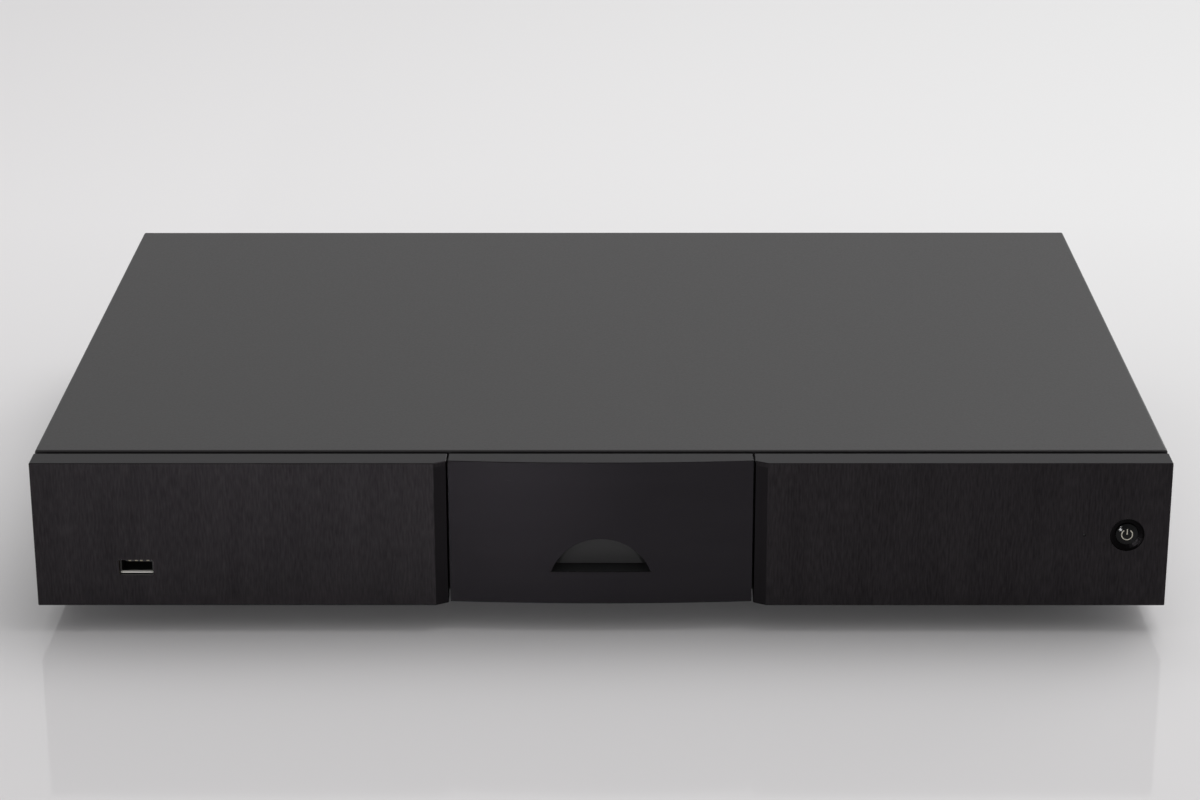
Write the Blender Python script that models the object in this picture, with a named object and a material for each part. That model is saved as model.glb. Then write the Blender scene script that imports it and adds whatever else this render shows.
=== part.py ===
# Network media player: a slim full-width case with a three-panel fascia, standing on four feet.
# Metres, +Z up. The front faces -Y, and the origin is under the middle of the whole object.
# Each piece is built round its own origin, looking along its own +Z, and is then placed and turned.

import math

import bmesh
import bpy

# Case, ground to top and fascia to back
CASE_WIDTH = 0.432
CASE_DEPTH = 0.301
CASE_HEIGHT = 0.070
GROUND_CLEARANCE = 0.0113
SEAT = 0.0003  # what pieces that rest on each other keep apart
SPACE = 0.006  # between neighbours inside that don't touch
HEADROOM = 0.0074  # under the cover, above the tallest pieces inside
OVERRUN = 0.002  # how far a cutter runs past what it cuts

# Sleeve: one folded cover with two flanges turned in under the tray
SLEEVE_WALL = 0.003
SLEEVE_CORNER = 0.0009
SLEEVE_FLANGE = 0.010
SLEEVE_FLANGE_THICKNESS = 0.002
SLEEVE_EDGE = 0.0004

# Fascia: two flat side panels with a chamfered inner end, and a bowed centre panel set back between them
FASCIA_THICKNESS = 0.0105
FASCIA_DROP = 0.0003  # top of the fascia under the top of the sleeve
FASCIA_WALL = 0.0032  # front wall, where the back is hollowed
FASCIA_RIM = 0.004
FASCIA_EDGE = 0.00025
SHADOW_GAP = 0.0026  # dark groove between the fascia and the sleeve
CHAMFER_WIDTH = 0.0048
CHAMFER_DEPTH = 0.0026
CENTRE_WIDTH = 0.1156
CENTRE_JOINT = 0.0007
CENTRE_SETBACK = 0.0006
CENTRE_BOW = 0.0022
CENTRE_RISE = 0.0006

# Badge: a half-moon lens at the bottom of a recess in the centre panel, lit from behind
BADGE_CHORD = 0.0382
BADGE_HEIGHT = 0.0137
BADGE_BASE = 0.0136  # from the bottom of the fascia up to the chord
BADGE_DEPTH = 0.0084
LENS_MARGIN = 0.0016  # dark gap between the lens and the arc of its recess
LENS_THICKNESS = 0.0015
GUIDE_INSET = 0.0024
LED_BOARD_WIDTH = 0.046
LED_BOARD_HEIGHT = 0.020

# Sheet metal behind the fascia, under the sleeve and at the back
SUBPANEL_THICKNESS = 0.003
TRAY_THICKNESS = 0.0015
TRAY_LIP = 0.008
REAR_THICKNESS = 0.0016
REAR_INSET = 0.0012
REAR_FOLD = 0.012
STANDOFF_HEIGHT = 0.008
STANDOFF_RADIUS = 0.003
STANDOFF_INSET = 0.006
VENT_LENGTH = 0.030
VENT_WIDTH = 0.003
VENT_PITCH = 0.007
VENT_COUNT = 8

# Feet
FOOT_TOP_RADIUS = 0.0135
FOOT_RADIUS = 0.0115
FOOT_EDGE = 0.001
FOOT_SCREW_RADIUS = 0.0042
FOOT_SCREW_DEPTH = 0.007
FOOT_SIDE_INSET = 0.045
FOOT_FRONT_INSET = 0.042
FOOT_BACK_INSET = 0.036

# Type A sockets, at the front and at the back
USB_WIDTH = 0.0126
USB_HEIGHT = 0.0056
USB_WALL = 0.00035
USB_CORNER = 0.0006
USB_LENGTH = 0.020
USB_ROOT = 0.006
TONGUE_WIDTH = 0.0096
TONGUE_THICKNESS = 0.0018
TONGUE_DROP = 0.0009
TONGUE_LENGTH = 0.0088
USB_SUNK = 0.0016  # how far the front shell lies behind the fascia's face
USB_PROUD = 0.0008  # how far the rear shell stands out of the rear panel
USB_FROM_SIDE = 0.0385
USB_FROM_BOTTOM = 0.0158
USB_BOARD_LENGTH = 0.020
USB_BOARD_SIDE = 0.004

# Power button in its dish, with the switch behind it
BUTTON_RADIUS = 0.0042
BUTTON_DOME = 0.0007
DOME_SHARES = (0.35, 0.65, 0.88)  # of the cap's radius, where its crown is drawn
BUTTON_SUNK = 0.0002
BUTTON_FLANGE = 0.0011
BUTTON_FLANGE_THICKNESS = 0.0008
BUTTON_STEM_RADIUS = 0.002
BUTTON_STEM = 0.0006
BUTTON_TRAVEL = 0.0008
BUTTON_FROM_SIDE = 0.0159
BORE_CLEARANCE = 0.00025
DISH_RADIUS = 0.0066
DISH_DEPTH = 0.0012
DISH_SHARES = (0.3, 0.6, 0.85)  # of the dish's depth, where its curve is drawn
GUIDE_WALL = 0.0012
SWITCH_SIDE = 0.0062
PLUNGER_RADIUS = 0.0016
PLUNGER_LENGTH = 0.0016
SWITCH_BOARD_SIDE = 0.009
SENSOR_FROM_BUTTON = 0.0163
SENSOR_RADIUS = 0.0006
PIPE_RADIUS = 0.0004
PIPE_FOOT_RADIUS = 0.0015
PIPE_FOOT = 0.001

# Circuit boards
BOARD_THICKNESS = 0.0016
BOARD_MARGIN = 0.008
MAIN_BOARD_FRONT = 0.026
STREAMER_WIDTH = 0.092
STREAMER_DEPTH = 0.074
STREAMER_FROM_FRONT = 0.030
PILLAR_HEIGHT = 0.010
PILLAR_RADIUS = 0.0025
CAN_WIDTH = 0.048
CAN_DEPTH = 0.040
CAN_HEIGHT = 0.0042
CAN_WALL = 0.0006

# Mains transformer: a wound ring between a rubber pad and a dished steel washer, on one bolt
COIL_RADIUS = 0.054
COIL_HOLE = 0.013
COIL_ROUND = 0.009
PAD_THICKNESS = 0.0025
PAD_RADIUS = 0.050
DISH_WASHER_RADIUS = 0.030
DISH_WASHER_THICKNESS = 0.0015
DISH_WASHER_SINK = 0.003
BOLT_RADIUS = 0.003
BOLT_HEAD_RADIUS = 0.0065
BOLT_HEAD = 0.004
COIL_SIDE_MARGIN = 0.010
COIL_FRONT_MARGIN = 0.022

# Power supply
CAPACITOR_RADIUS = 0.015
CAPACITOR_EDGE = 0.0012
HEATSINK_LENGTH = 0.060
HEATSINK_DEPTH = 0.020
HEATSINK_BASE = 0.003
HEATSINK_FIN = 0.0016
HEATSINK_FINS = 9

# Mains inlet with its fuse drawer
INLET_FLANGE_WIDTH = 0.050
INLET_FLANGE_HEIGHT = 0.034
INLET_FLANGE = 0.0026
INLET_CORNER = 0.004
INLET_CAVITY_WIDTH = 0.0246
INLET_CAVITY_HEIGHT = 0.0168
INLET_CAVITY_CHAMFER = 0.005
INLET_CAVITY_DEPTH = 0.017
INLET_WALL = 0.0016
INLET_FLOOR = 0.004
PIN_WIDTH = 0.002
PIN_HEIGHT = 0.004
PIN_LENGTH = 0.0155
PIN_SPACING = 0.007
FUSE_RADIUS = 0.0026
FUSE_LENGTH = 0.020
DRAWER_WALL = 0.0012
DRAWER_FRONT = 0.0024
DRAWER_PROUD = 0.0008
DRAWER_LENGTH = 0.014
DRAWER_NOTCH_WIDTH = 0.006
DRAWER_NOTCH = 0.001

# Mains rocker switch
ROCKER_WIDTH = 0.010
ROCKER_REACH = 0.0090
ROCKER_HEIGHT = 0.0022
ROCKER_TILT = math.radians(12)
ROCKER_WALL = 0.0014
ROCKER_FLANGE = 0.0016
ROCKER_FLANGE_WIDTH = 0.0015
ROCKER_DEPTH = 0.014

# Ground lift slide switch
SLIDER_WIDTH = 0.005
SLIDER_HEIGHT = 0.0042
SLIDER_PROUD = 0.0028
SLIDER_TRAVEL = 0.004
SLIDER_DEPTH = 0.003
SLIDE_SWITCH_WIDTH = 0.020
SLIDE_SWITCH_HEIGHT = 0.009
SLIDE_SWITCH_DEPTH = 0.007

# Round sockets in the back
PHONO_RADIUS = 0.00415
PHONO_REACH = 0.009
PHONO_HOLE = 0.0016
PHONO_HOLE_DEPTH = 0.010
PHONO_RING = 0.0055
PHONO_RING_THICKNESS = 0.001
PHONO_BLOCK_WIDTH = 0.012
PHONO_BLOCK_DEPTH = 0.010
BAYONET_RADIUS = 0.0048
BAYONET_REACH = 0.011
BAYONET_BORE = 0.00405
BAYONET_BORE_DEPTH = 0.008
BAYONET_CORE = 0.0024
BAYONET_CORE_SUNK = 0.0012
BAYONET_HOLE = 0.0007
BAYONET_HOLE_DEPTH = 0.005
BAYONET_RING = 0.0070
BAYONET_RING_THICKNESS = 0.002
BAYONET_LUG = 0.001
BAYONET_LUG_DROP = 0.0035
BAYONET_BLOCK_WIDTH = 0.0145
BAYONET_BLOCK_DEPTH = 0.012
DIN_RADIUS = 0.0088
DIN_PROUD = 0.0016
DIN_SLOT_OUTER = 0.0077
DIN_SLOT_INNER = 0.0067
DIN_SLOT_DEPTH = 0.006
DIN_HOLE = 0.0008
DIN_HOLE_CIRCLE = 0.00375
DIN_HOLE_DEPTH = 0.003
DIN_BLOCK_DEPTH = 0.013
ANTENNA_RADIUS = 0.0031
ANTENNA_REACH = 0.009
ANTENNA_BORE = 0.0023
ANTENNA_BORE_DEPTH = 0.005
ANTENNA_RING = 0.0046
ANTENNA_RING_THICKNESS = 0.0022
ANTENNA_TAIL = 0.008
ANTENNA_DROP = 0.0057  # from the top of the rear panel down to the socket's axis
JACK_RADIUS = 0.0038
JACK_REACH = 0.0022
JACK_BORE = 0.0018
JACK_BORE_DEPTH = 0.012
JACK_RING = 0.0050
JACK_RING_THICKNESS = 0.0012
JACK_BLOCK_WIDTH = 0.0110
JACK_BLOCK_DEPTH = 0.013

# Square sockets in the back
NETWORK_WIDTH = 0.0160
NETWORK_HEIGHT = 0.0136
NETWORK_LENGTH = 0.020
NETWORK_PROUD = 0.0008
NETWORK_CAVITY_WIDTH = 0.0119
NETWORK_CAVITY_HEIGHT = 0.0080
NETWORK_CAVITY_DEPTH = 0.0135
NETWORK_LATCH_WIDTH = 0.0060
NETWORK_LATCH_HEIGHT = 0.0016
NETWORK_CAVITY_BASE = 0.0034
OPTICAL_WIDTH = 0.0134
OPTICAL_HEIGHT = 0.0120
OPTICAL_LENGTH = 0.016
OPTICAL_PROUD = 0.0016
OPTICAL_CAVITY_WIDTH = 0.0100
OPTICAL_CAVITY_HEIGHT = 0.0088
OPTICAL_CAVITY_DEPTH = 0.0115
OPTICAL_CHAMFER = 0.0018
SHUTTER_THICKNESS = 0.0009
SHUTTER_SUNK = 0.0003

# Wiring held inside
RIBBON_WIDTH = 0.012
RIBBON_THICKNESS = 0.0009
RIBBON_DROP = 0.005  # from the middle of the button down to where the ribbon leaves
LEAD_RADIUS = 0.0018
LEAD_BEND = 0.010

# Fineness of round shapes
COARSE = 12
PLAIN = 16
ROUND = 24
FINE = 36
ARC = 20

# How each piece looks along its own +Z
UPWARD = (0, 0, 0)
TO_FRONT = (math.pi / 2, 0, 0)
TO_REAR = (math.pi / 2, 0, math.pi)
TO_RIGHT = (math.pi / 2, 0, math.pi / 2)

# Planes that several pieces share
CLEARED = 2 * SEAT
FRONT = -(CASE_DEPTH + BAYONET_REACH - REAR_INSET) / 2
BACK = FRONT + CASE_DEPTH
FASCIA_BACK = FRONT + FASCIA_THICKNESS
FASCIA_TOP = CASE_HEIGHT - FASCIA_DROP
SUBPANEL_FRONT = FASCIA_BACK + SEAT
SUBPANEL_BACK = SUBPANEL_FRONT + SUBPANEL_THICKNESS
REAR_OUTSIDE = BACK - REAR_INSET
REAR_INSIDE = REAR_OUTSIDE - REAR_THICKNESS
INNER_HALF = CASE_WIDTH / 2 - SLEEVE_WALL - SEAT
INNER_TOP = CASE_HEIGHT - SLEEVE_WALL - SEAT
TRAY_BOTTOM = GROUND_CLEARANCE + SLEEVE_FLANGE_THICKNESS + SEAT
TRAY_TOP = TRAY_BOTTOM + TRAY_THICKNESS
BOARD_BOTTOM = TRAY_TOP + STANDOFF_HEIGHT + SEAT
BOARD_TOP = BOARD_BOTTOM + BOARD_THICKNESS
SOCKET_BASE = BOARD_TOP + SEAT
REAR_MIDDLE = (TRAY_BOTTOM + INNER_TOP) / 2
BUTTON_MIDDLE = (GROUND_CLEARANCE + FASCIA_TOP) / 2
BUTTON_X = CASE_WIDTH / 2 - BUTTON_FROM_SIDE
USB_X = -CASE_WIDTH / 2 + USB_FROM_SIDE
USB_MIDDLE = GROUND_CLEARANCE + USB_FROM_BOTTOM
SWITCH_BOARD_BACK = FASCIA_BACK
SWITCH_BOARD_FRONT = SWITCH_BOARD_BACK - BOARD_THICKNESS
COIL_X = -INNER_HALF + COIL_SIDE_MARGIN + COIL_RADIUS
COIL_Y = SUBPANEL_BACK + COIL_FRONT_MARGIN + COIL_RADIUS
COIL_BOTTOM = TRAY_TOP + PAD_THICKNESS + CLEARED
COIL_HEIGHT = INNER_TOP - HEADROOM - BOLT_HEAD + DISH_WASHER_SINK - DISH_WASHER_THICKNESS - CLEARED - COIL_BOTTOM
SUPPLY_HEIGHT = INNER_TOP - HEADROOM - SOCKET_BASE
INLET_BODY_WIDTH = INLET_CAVITY_WIDTH + 2 * INLET_WALL
DRAWER_HEIGHT = 2 * FUSE_RADIUS + SEAT + DRAWER_WALL
DRAWER_WIDTH = FUSE_LENGTH + CLEARED + 2 * DRAWER_WALL
INLET_BODY_HEIGHT = INLET_CAVITY_HEIGHT + DRAWER_HEIGHT + CLEARED + 3 * INLET_WALL
INLET_DEPTH = INLET_CAVITY_DEPTH + INLET_FLOOR - INLET_FLANGE


# Places of the rear sockets

# Names and widths along the back from +X to -X. What is left over is shared out evenly between them.
REAR_ROW = (
    ("antenna_socket_right", 2 * ANTENNA_RING),
    ("remote_jack", JACK_BLOCK_WIDTH),
    ("network_socket", NETWORK_WIDTH),
    ("usb_rear", USB_WIDTH),
    ("optical_input_1", OPTICAL_WIDTH),
    ("optical_input_2", OPTICAL_WIDTH),
    ("coax_input", PHONO_BLOCK_WIDTH),
    ("bnc_input", BAYONET_BLOCK_WIDTH),
    ("bnc_output", BAYONET_BLOCK_WIDTH),
    ("antenna_socket_left", 2 * ANTENNA_RING),
    ("phono_right", PHONO_BLOCK_WIDTH),
    ("phono_left", PHONO_BLOCK_WIDTH),
    ("din_output", 2 * DIN_RADIUS),
    ("ground_switch", SLIDE_SWITCH_WIDTH),
    ("mains_switch", ROCKER_WIDTH + 2 * ROCKER_WALL + 2 * ROCKER_FLANGE_WIDTH),
    ("mains_inlet", INLET_FLANGE_WIDTH),
)


def rear_places():
    """The middle of each rear socket in X."""
    used = sum(width for _, width in REAR_ROW)
    between = (2 * (INNER_HALF - BOARD_MARGIN) - used) / (len(REAR_ROW) - 1)
    places = {}
    side = INNER_HALF - BOARD_MARGIN
    for name, width in REAR_ROW:
        places[name] = side - width / 2
        side -= width + between
    return places


PLACES = rear_places()
MAIN_LEFT = PLACES["din_output"] - DIN_RADIUS - SPACE / 2
BEHIND_COIL = COIL_Y + COIL_RADIUS + SPACE
STREAMER_X = INNER_HALF - BOARD_MARGIN - SPACE - STREAMER_WIDTH / 2
STREAMER_Y = SUBPANEL_BACK + MAIN_BOARD_FRONT + STREAMER_FROM_FRONT + STREAMER_DEPTH / 2
STREAMER_BOTTOM = BOARD_TOP + PILLAR_HEIGHT + SEAT
STREAMER_TOP = STREAMER_BOTTOM + BOARD_THICKNESS


# Materials


def linear(share):
    return share / 12.92 if share <= 0.04045 else ((share + 0.055) / 1.055) ** 2.4


def finish(name, colour, roughness, metallic=0.0):
    """A Principled material from an sRGB hex colour."""
    found = bpy.data.materials.get(name)
    if found:
        return found
    material = bpy.data.materials.new(name)
    material.use_nodes = True
    shader = material.node_tree.nodes["Principled BSDF"]
    red, green, blue = (int(colour[at : at + 2], 16) / 255 for at in (0, 2, 4))
    shader.inputs["Base Color"].default_value = (linear(red), linear(green), linear(blue), 1)
    shader.inputs["Roughness"].default_value = roughness
    shader.inputs["Metallic"].default_value = metallic
    material.diffuse_color = (linear(red), linear(green), linear(blue), 1)
    return material


def textured_paint():
    return finish("textured black paint", "4B4A4C", 0.6)


def black_anodised():
    return finish("black anodised aluminium", "2A292C", 0.4, 0.6)


def centre_anodised():
    return finish("satin anodised aluminium", "2F2D31", 0.35, 0.6)


def zinc_steel():
    return finish("zinc plated steel", "A7A9AC", 0.35, 1.0)


def black_steel():
    return finish("black painted steel", "232325", 0.5)


def foot_rubber():
    return finish("black rubber", "1B1B1C", 0.8)


def smoked_acrylic():
    return finish("smoked acrylic", "2E2C2E", 0.08)


def frosted_acrylic():
    return finish("frosted acrylic", "D9DCDD", 0.5)


def circuit_board():
    return finish("green circuit board", "1F4A33", 0.45)


def black_plastic():
    return finish("black moulded plastic", "1D1D1F", 0.4)


def gloss_button():
    return finish("gloss black button", "0C0C0E", 0.06)


def nickel():
    return finish("bright nickel", "C9C7C2", 0.2, 1.0)


def gold():
    return finish("gold plate", "D8B04A", 0.2, 1.0)


def wound_tape():
    return finish("yellow winding tape", "C9A53C", 0.5)


def capacitor_sleeve():
    return finish("dark blue shrink sleeve", "1D2B4A", 0.3)


def heatsink_metal():
    return finish("black anodised heatsink", "202022", 0.45, 0.7)


def clear_glass():
    return finish("fuse glass", "C8D2D0", 0.05)


def grey_ribbon():
    return finish("grey ribbon insulation", "9A9C9E", 0.5)


def lead_jacket():
    return finish("black lead jacket", "1A1A1B", 0.5)


# Shapes


def mesh_object(name, bm, material):
    mesh = bpy.data.meshes.new(name)
    bm.to_mesh(mesh)
    bm.free()
    mesh.materials.append(material)
    made = bpy.data.objects.new(name, mesh)
    bpy.context.scene.collection.objects.link(made)
    made.parent = player
    return made


def prisms(name, outlines, depth, material, edge=0.0):
    """Outlines drawn in X and Y, raised from Z 0 to the depth. The edge chamfers the rims of the raised ends."""
    bm = bmesh.new()
    rims = []
    for outline in outlines:
        face = bm.faces.new([bm.verts.new((x, y, 0)) for x, y in outline])
        raised = bmesh.ops.extrude_face_region(bm, geom=[face])["geom"]
        moved = [part for part in raised if isinstance(part, bmesh.types.BMVert)]
        bmesh.ops.translate(bm, verts=moved, vec=(0, 0, depth))
        ends = [part for part in raised if isinstance(part, bmesh.types.BMFace)]
        rims += [rim for end in ends for rim in end.edges]
    bmesh.ops.recalc_face_normals(bm, faces=bm.faces)
    if edge:
        bmesh.ops.bevel(bm, geom=rims, offset=edge, segments=1, profile=0.5, affect="EDGES")
    return mesh_object(name, bm, material)


def prism(name, outline, depth, material, edge=0.0):
    return prisms(name, [outline], depth, material, edge)


def turned(name, profile, material, steps=ROUND):
    """A profile of radii and heights, from the axis down the outer side and back to the axis, spun round Z."""
    bm = bmesh.new()
    verts = [bm.verts.new((radius, 0, height)) for radius, height in profile]
    rims = [bm.edges.new(pair) for pair in zip(verts, verts[1:])]
    spin = dict(axis=(0, 0, 1), cent=(0, 0, 0), angle=2 * math.pi, steps=steps)
    bmesh.ops.spin(bm, geom=verts + rims, **spin)
    bmesh.ops.remove_doubles(bm, verts=bm.verts, dist=SEAT / 1000)
    bmesh.ops.recalc_face_normals(bm, faces=bm.faces)
    made = mesh_object(name, bm, material)
    made.data.shade_smooth()
    made.data.set_sharp_from_angle(angle=math.radians(35))
    return made


def ring(name, section, material, steps=ROUND):
    """A closed section of radii and heights, spun round Z into a ring with a hole."""
    return turned(name, list(section) + [section[0]], material, steps)


def tube(name, points, radius, material):
    """A round lead along a smooth curve through its own points."""
    curve = bpy.data.curves.new(name, "CURVE")
    curve.dimensions = "3D"
    curve.bevel_depth = radius
    curve.bevel_resolution = 2
    curve.use_fill_caps = True
    path = smooth_path(points, 5 * radius)
    spline = curve.splines.new("POLY")
    spline.points.add(len(path) - 1)
    for point, place in zip(spline.points, path):
        point.co = (*place, 1)
    curve.materials.append(material)
    made = bpy.data.objects.new(name, curve)
    bpy.context.scene.collection.objects.link(made)
    made.parent = player
    return made


def smooth_path(points, spacing):
    """A curve through the points, each stretch bent by its neighbours, with steps about the spacing apart."""
    ends = [points[0]] + list(points) + [points[-1]]
    path = []
    for before, start, end, after in zip(ends, ends[1:], ends[2:], ends[3:]):
        steps = max(2, round(math.dist(start, end) / spacing))
        for step in range(steps):
            t = step / steps
            path.append(
                tuple(
                    (2 * b + (c - a) * t + (2 * a - 5 * b + 4 * c - d) * t**2 + (3 * b - a - 3 * c + d) * t**3) / 2
                    for a, b, c, d in zip(before, start, end, after)
                )
            )
    return path + [tuple(points[-1])]


def place(made, x, y, z, turn=UPWARD):
    made.location = (x, y, z)
    made.rotation_euler = turn
    return made


def add_boolean(target, tool, operation):
    tool.hide_render = True
    tool.display_type = "WIRE"
    modifier = target.modifiers.new(f"{operation.lower()} {tool.name}", "BOOLEAN")
    modifier.operation = operation
    modifier.object = tool
    return target


def cut(target, tool):
    return add_boolean(target, tool, "DIFFERENCE")


def fuse(target, tool):
    return add_boolean(target, tool, "UNION")


# Outlines


def rectangle(left, low, right, high):
    return [(left, low), (right, low), (right, high), (left, high)]


def centred(width, height):
    return rectangle(-width / 2, -height / 2, width / 2, height / 2)


def arc(x, y, radius, start, end, steps):
    turns = [start + (end - start) * step / steps for step in range(steps + 1)]
    return [(x + radius * math.cos(turn), y + radius * math.sin(turn)) for turn in turns]


def circle(radius, steps, x=0.0, y=0.0):
    return arc(x, y, radius, 0, 2 * math.pi, steps)[:-1]


def rounded(width, height, radius, steps=3):
    """A rectangle about the origin with round corners."""
    points = []
    for corner, (side, end) in enumerate(((1, 1), (-1, 1), (-1, -1), (1, -1))):
        x = side * (width / 2 - radius)
        y = end * (height / 2 - radius)
        start = corner * math.pi / 2
        points += arc(x, y, radius, start, start + math.pi / 2, steps)
    return points


def slot(width, height, x, y, steps=4):
    """A slot with round ends, long in Y."""
    top = arc(x, y + (height - width) / 2, width / 2, 0, math.pi, steps)
    bottom = arc(x, y - (height - width) / 2, width / 2, math.pi, 2 * math.pi, steps)
    return top + bottom


def half_moon(inset, foot, steps=ARC):
    """The badge's segment of a circle, drawn in by the inset along its arc. Its chord lies at Y foot."""
    radius = (BADGE_HEIGHT**2 + (BADGE_CHORD / 2) ** 2) / (2 * BADGE_HEIGHT)
    middle = BADGE_HEIGHT - radius
    reach = math.asin((foot - middle) / (radius - inset))
    return arc(0, middle, radius - inset, reach, math.pi - reach, steps)


def strip(points, thickness):
    """A band of even thickness along points, with mitred corners."""
    sides = ([], [])
    for at, point in enumerate(points):
        before = points[max(at - 1, 0)]
        after = points[min(at + 1, len(points) - 1)]
        into = unit(before, point) if at else unit(point, after)
        out = unit(point, after) if at < len(points) - 1 else into
        across = (-(into[1] + out[1]), into[0] + out[0])
        scale = thickness / (1 + into[0] * out[0] + into[1] * out[1]) / 2
        sides[0].append((point[0] + across[0] * scale, point[1] + across[1] * scale))
        sides[1].append((point[0] - across[0] * scale, point[1] - across[1] * scale))
    return sides[1] + sides[0][::-1]


def unit(start, end):
    length = math.dist(start, end)
    return ((end[0] - start[0]) / length, (end[1] - start[1]) / length)


# Case


def make_sleeve():
    half = CASE_WIDTH / 2
    low = GROUND_CLEARANCE
    high = CASE_HEIGHT
    corner = SLEEVE_CORNER
    ledge = low + SLEEVE_FLANGE_THICKNESS
    right = [
        (half - SLEEVE_WALL, high - SLEEVE_WALL),
        (half - SLEEVE_WALL, ledge),
        (half - SLEEVE_FLANGE, ledge),
        (half - SLEEVE_FLANGE, low),
    ]
    right += arc(half - corner, low + corner, corner, -math.pi / 2, 0, 3)
    right += arc(half - corner, high - corner, corner, 0, math.pi / 2, 3)
    outline = right + [(-x, z) for x, z in right[::-1]]
    sleeve = prism("sleeve", outline, BACK - FASCIA_BACK - SHADOW_GAP, textured_paint(), SLEEVE_EDGE)
    return place(sleeve, 0, BACK, 0, TO_FRONT)


def vent_cutter():
    """Two banks of slots through the tray, under the transformer and under the power supply."""
    outlines = []
    bank = (VENT_COUNT - 1) * VENT_PITCH
    for middle in (COIL_X - COIL_RADIUS / 2, COIL_X + COIL_RADIUS):
        for number in range(VENT_COUNT):
            x = middle - bank / 2 + number * VENT_PITCH
            outlines.append(slot(VENT_WIDTH, VENT_LENGTH, x, BEHIND_COIL + VENT_LENGTH))
    tool = prisms("vent_cutter", outlines, TRAY_THICKNESS + 2 * OVERRUN, black_steel())
    return place(tool, 0, 0, TRAY_BOTTOM - OVERRUN)


def standoff_places():
    """Under the corners of the power board and the main board, clear of the fold at the back."""
    inset = STANDOFF_INSET
    left, front, right, back = power_board_sides()
    places = [(x, y) for x in (left + inset, right - inset) for y in (front + inset, back - inset)]
    left, front, right, back = main_board_sides()
    back -= REAR_FOLD
    behind = max(front, BEHIND_COIL)
    places += [(right - inset, front + inset), (right - inset, back - inset)]
    places += [(MAIN_LEFT + inset, behind + inset), (MAIN_LEFT + inset, back - inset)]
    places += [(left + inset, front + inset), ((left + right) / 2, back - inset)]
    return places


def make_tray():
    half = INNER_HALF
    wall = TRAY_THICKNESS
    outline = [
        (-half, TRAY_BOTTOM),
        (half, TRAY_BOTTOM),
        (half, TRAY_BOTTOM + TRAY_LIP),
        (half - wall, TRAY_BOTTOM + TRAY_LIP),
        (half - wall, TRAY_TOP),
        (wall - half, TRAY_TOP),
        (wall - half, TRAY_BOTTOM + TRAY_LIP),
        (-half, TRAY_BOTTOM + TRAY_LIP),
    ]
    front = SUBPANEL_BACK + SEAT
    tray = prism("base_tray", outline, REAR_INSIDE - SEAT - front, zinc_steel())
    place(tray, 0, REAR_INSIDE - SEAT, 0, TO_FRONT)
    lip = prism("tray_front_lip", rectangle(-half, TRAY_BOTTOM, half, TRAY_BOTTOM + TRAY_LIP), wall, zinc_steel())
    fuse(tray, place(lip, 0, front + wall, 0, TO_FRONT))
    posts = [circle(STANDOFF_RADIUS, COARSE, x, y) for x, y in standoff_places()]
    standoffs = prisms("standoffs", posts, STANDOFF_HEIGHT + wall / 2, zinc_steel())
    fuse(tray, place(standoffs, 0, 0, TRAY_TOP - wall / 2))
    return cut(tray, vent_cutter())


def make_subpanel():
    outline = rectangle(-INNER_HALF, TRAY_BOTTOM, INNER_HALF, INNER_TOP)
    panel = prism("front_subpanel", outline, SUBPANEL_THICKNESS, black_steel())
    place(panel, 0, SUBPANEL_BACK, 0, TO_FRONT)
    depth = SUBPANEL_THICKNESS + 2 * OVERRUN
    start = SUBPANEL_BACK + OVERRUN
    badge = prism("badge_window_cutter", half_moon(GUIDE_INSET - SEAT, SEAT), depth, black_steel())
    cut(panel, place(badge, 0, start, GROUND_CLEARANCE + BADGE_BASE, TO_FRONT))
    socket = centred(USB_WIDTH + 2 * CLEARED, USB_HEIGHT + 2 * CLEARED)
    usb = prism("usb_window_cutter", socket, depth, black_steel())
    cut(panel, place(usb, USB_X, start, USB_MIDDLE, TO_FRONT))
    gap = centred(RIBBON_WIDTH + 2 * CLEARED, RIBBON_THICKNESS + 2 * CLEARED)
    ribbon = prism("ribbon_window_cutter", gap, depth, black_steel())
    return cut(panel, place(ribbon, ribbon_x(), start, ribbon_top(), TO_FRONT))


def rear_hole(panel, name, outline, z):
    tool = prism(f"{name}_hole", outline, REAR_THICKNESS + 2 * OVERRUN, black_steel())
    return cut(panel, place(tool, PLACES[name], REAR_INSIDE - OVERRUN, z, TO_REAR))


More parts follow.
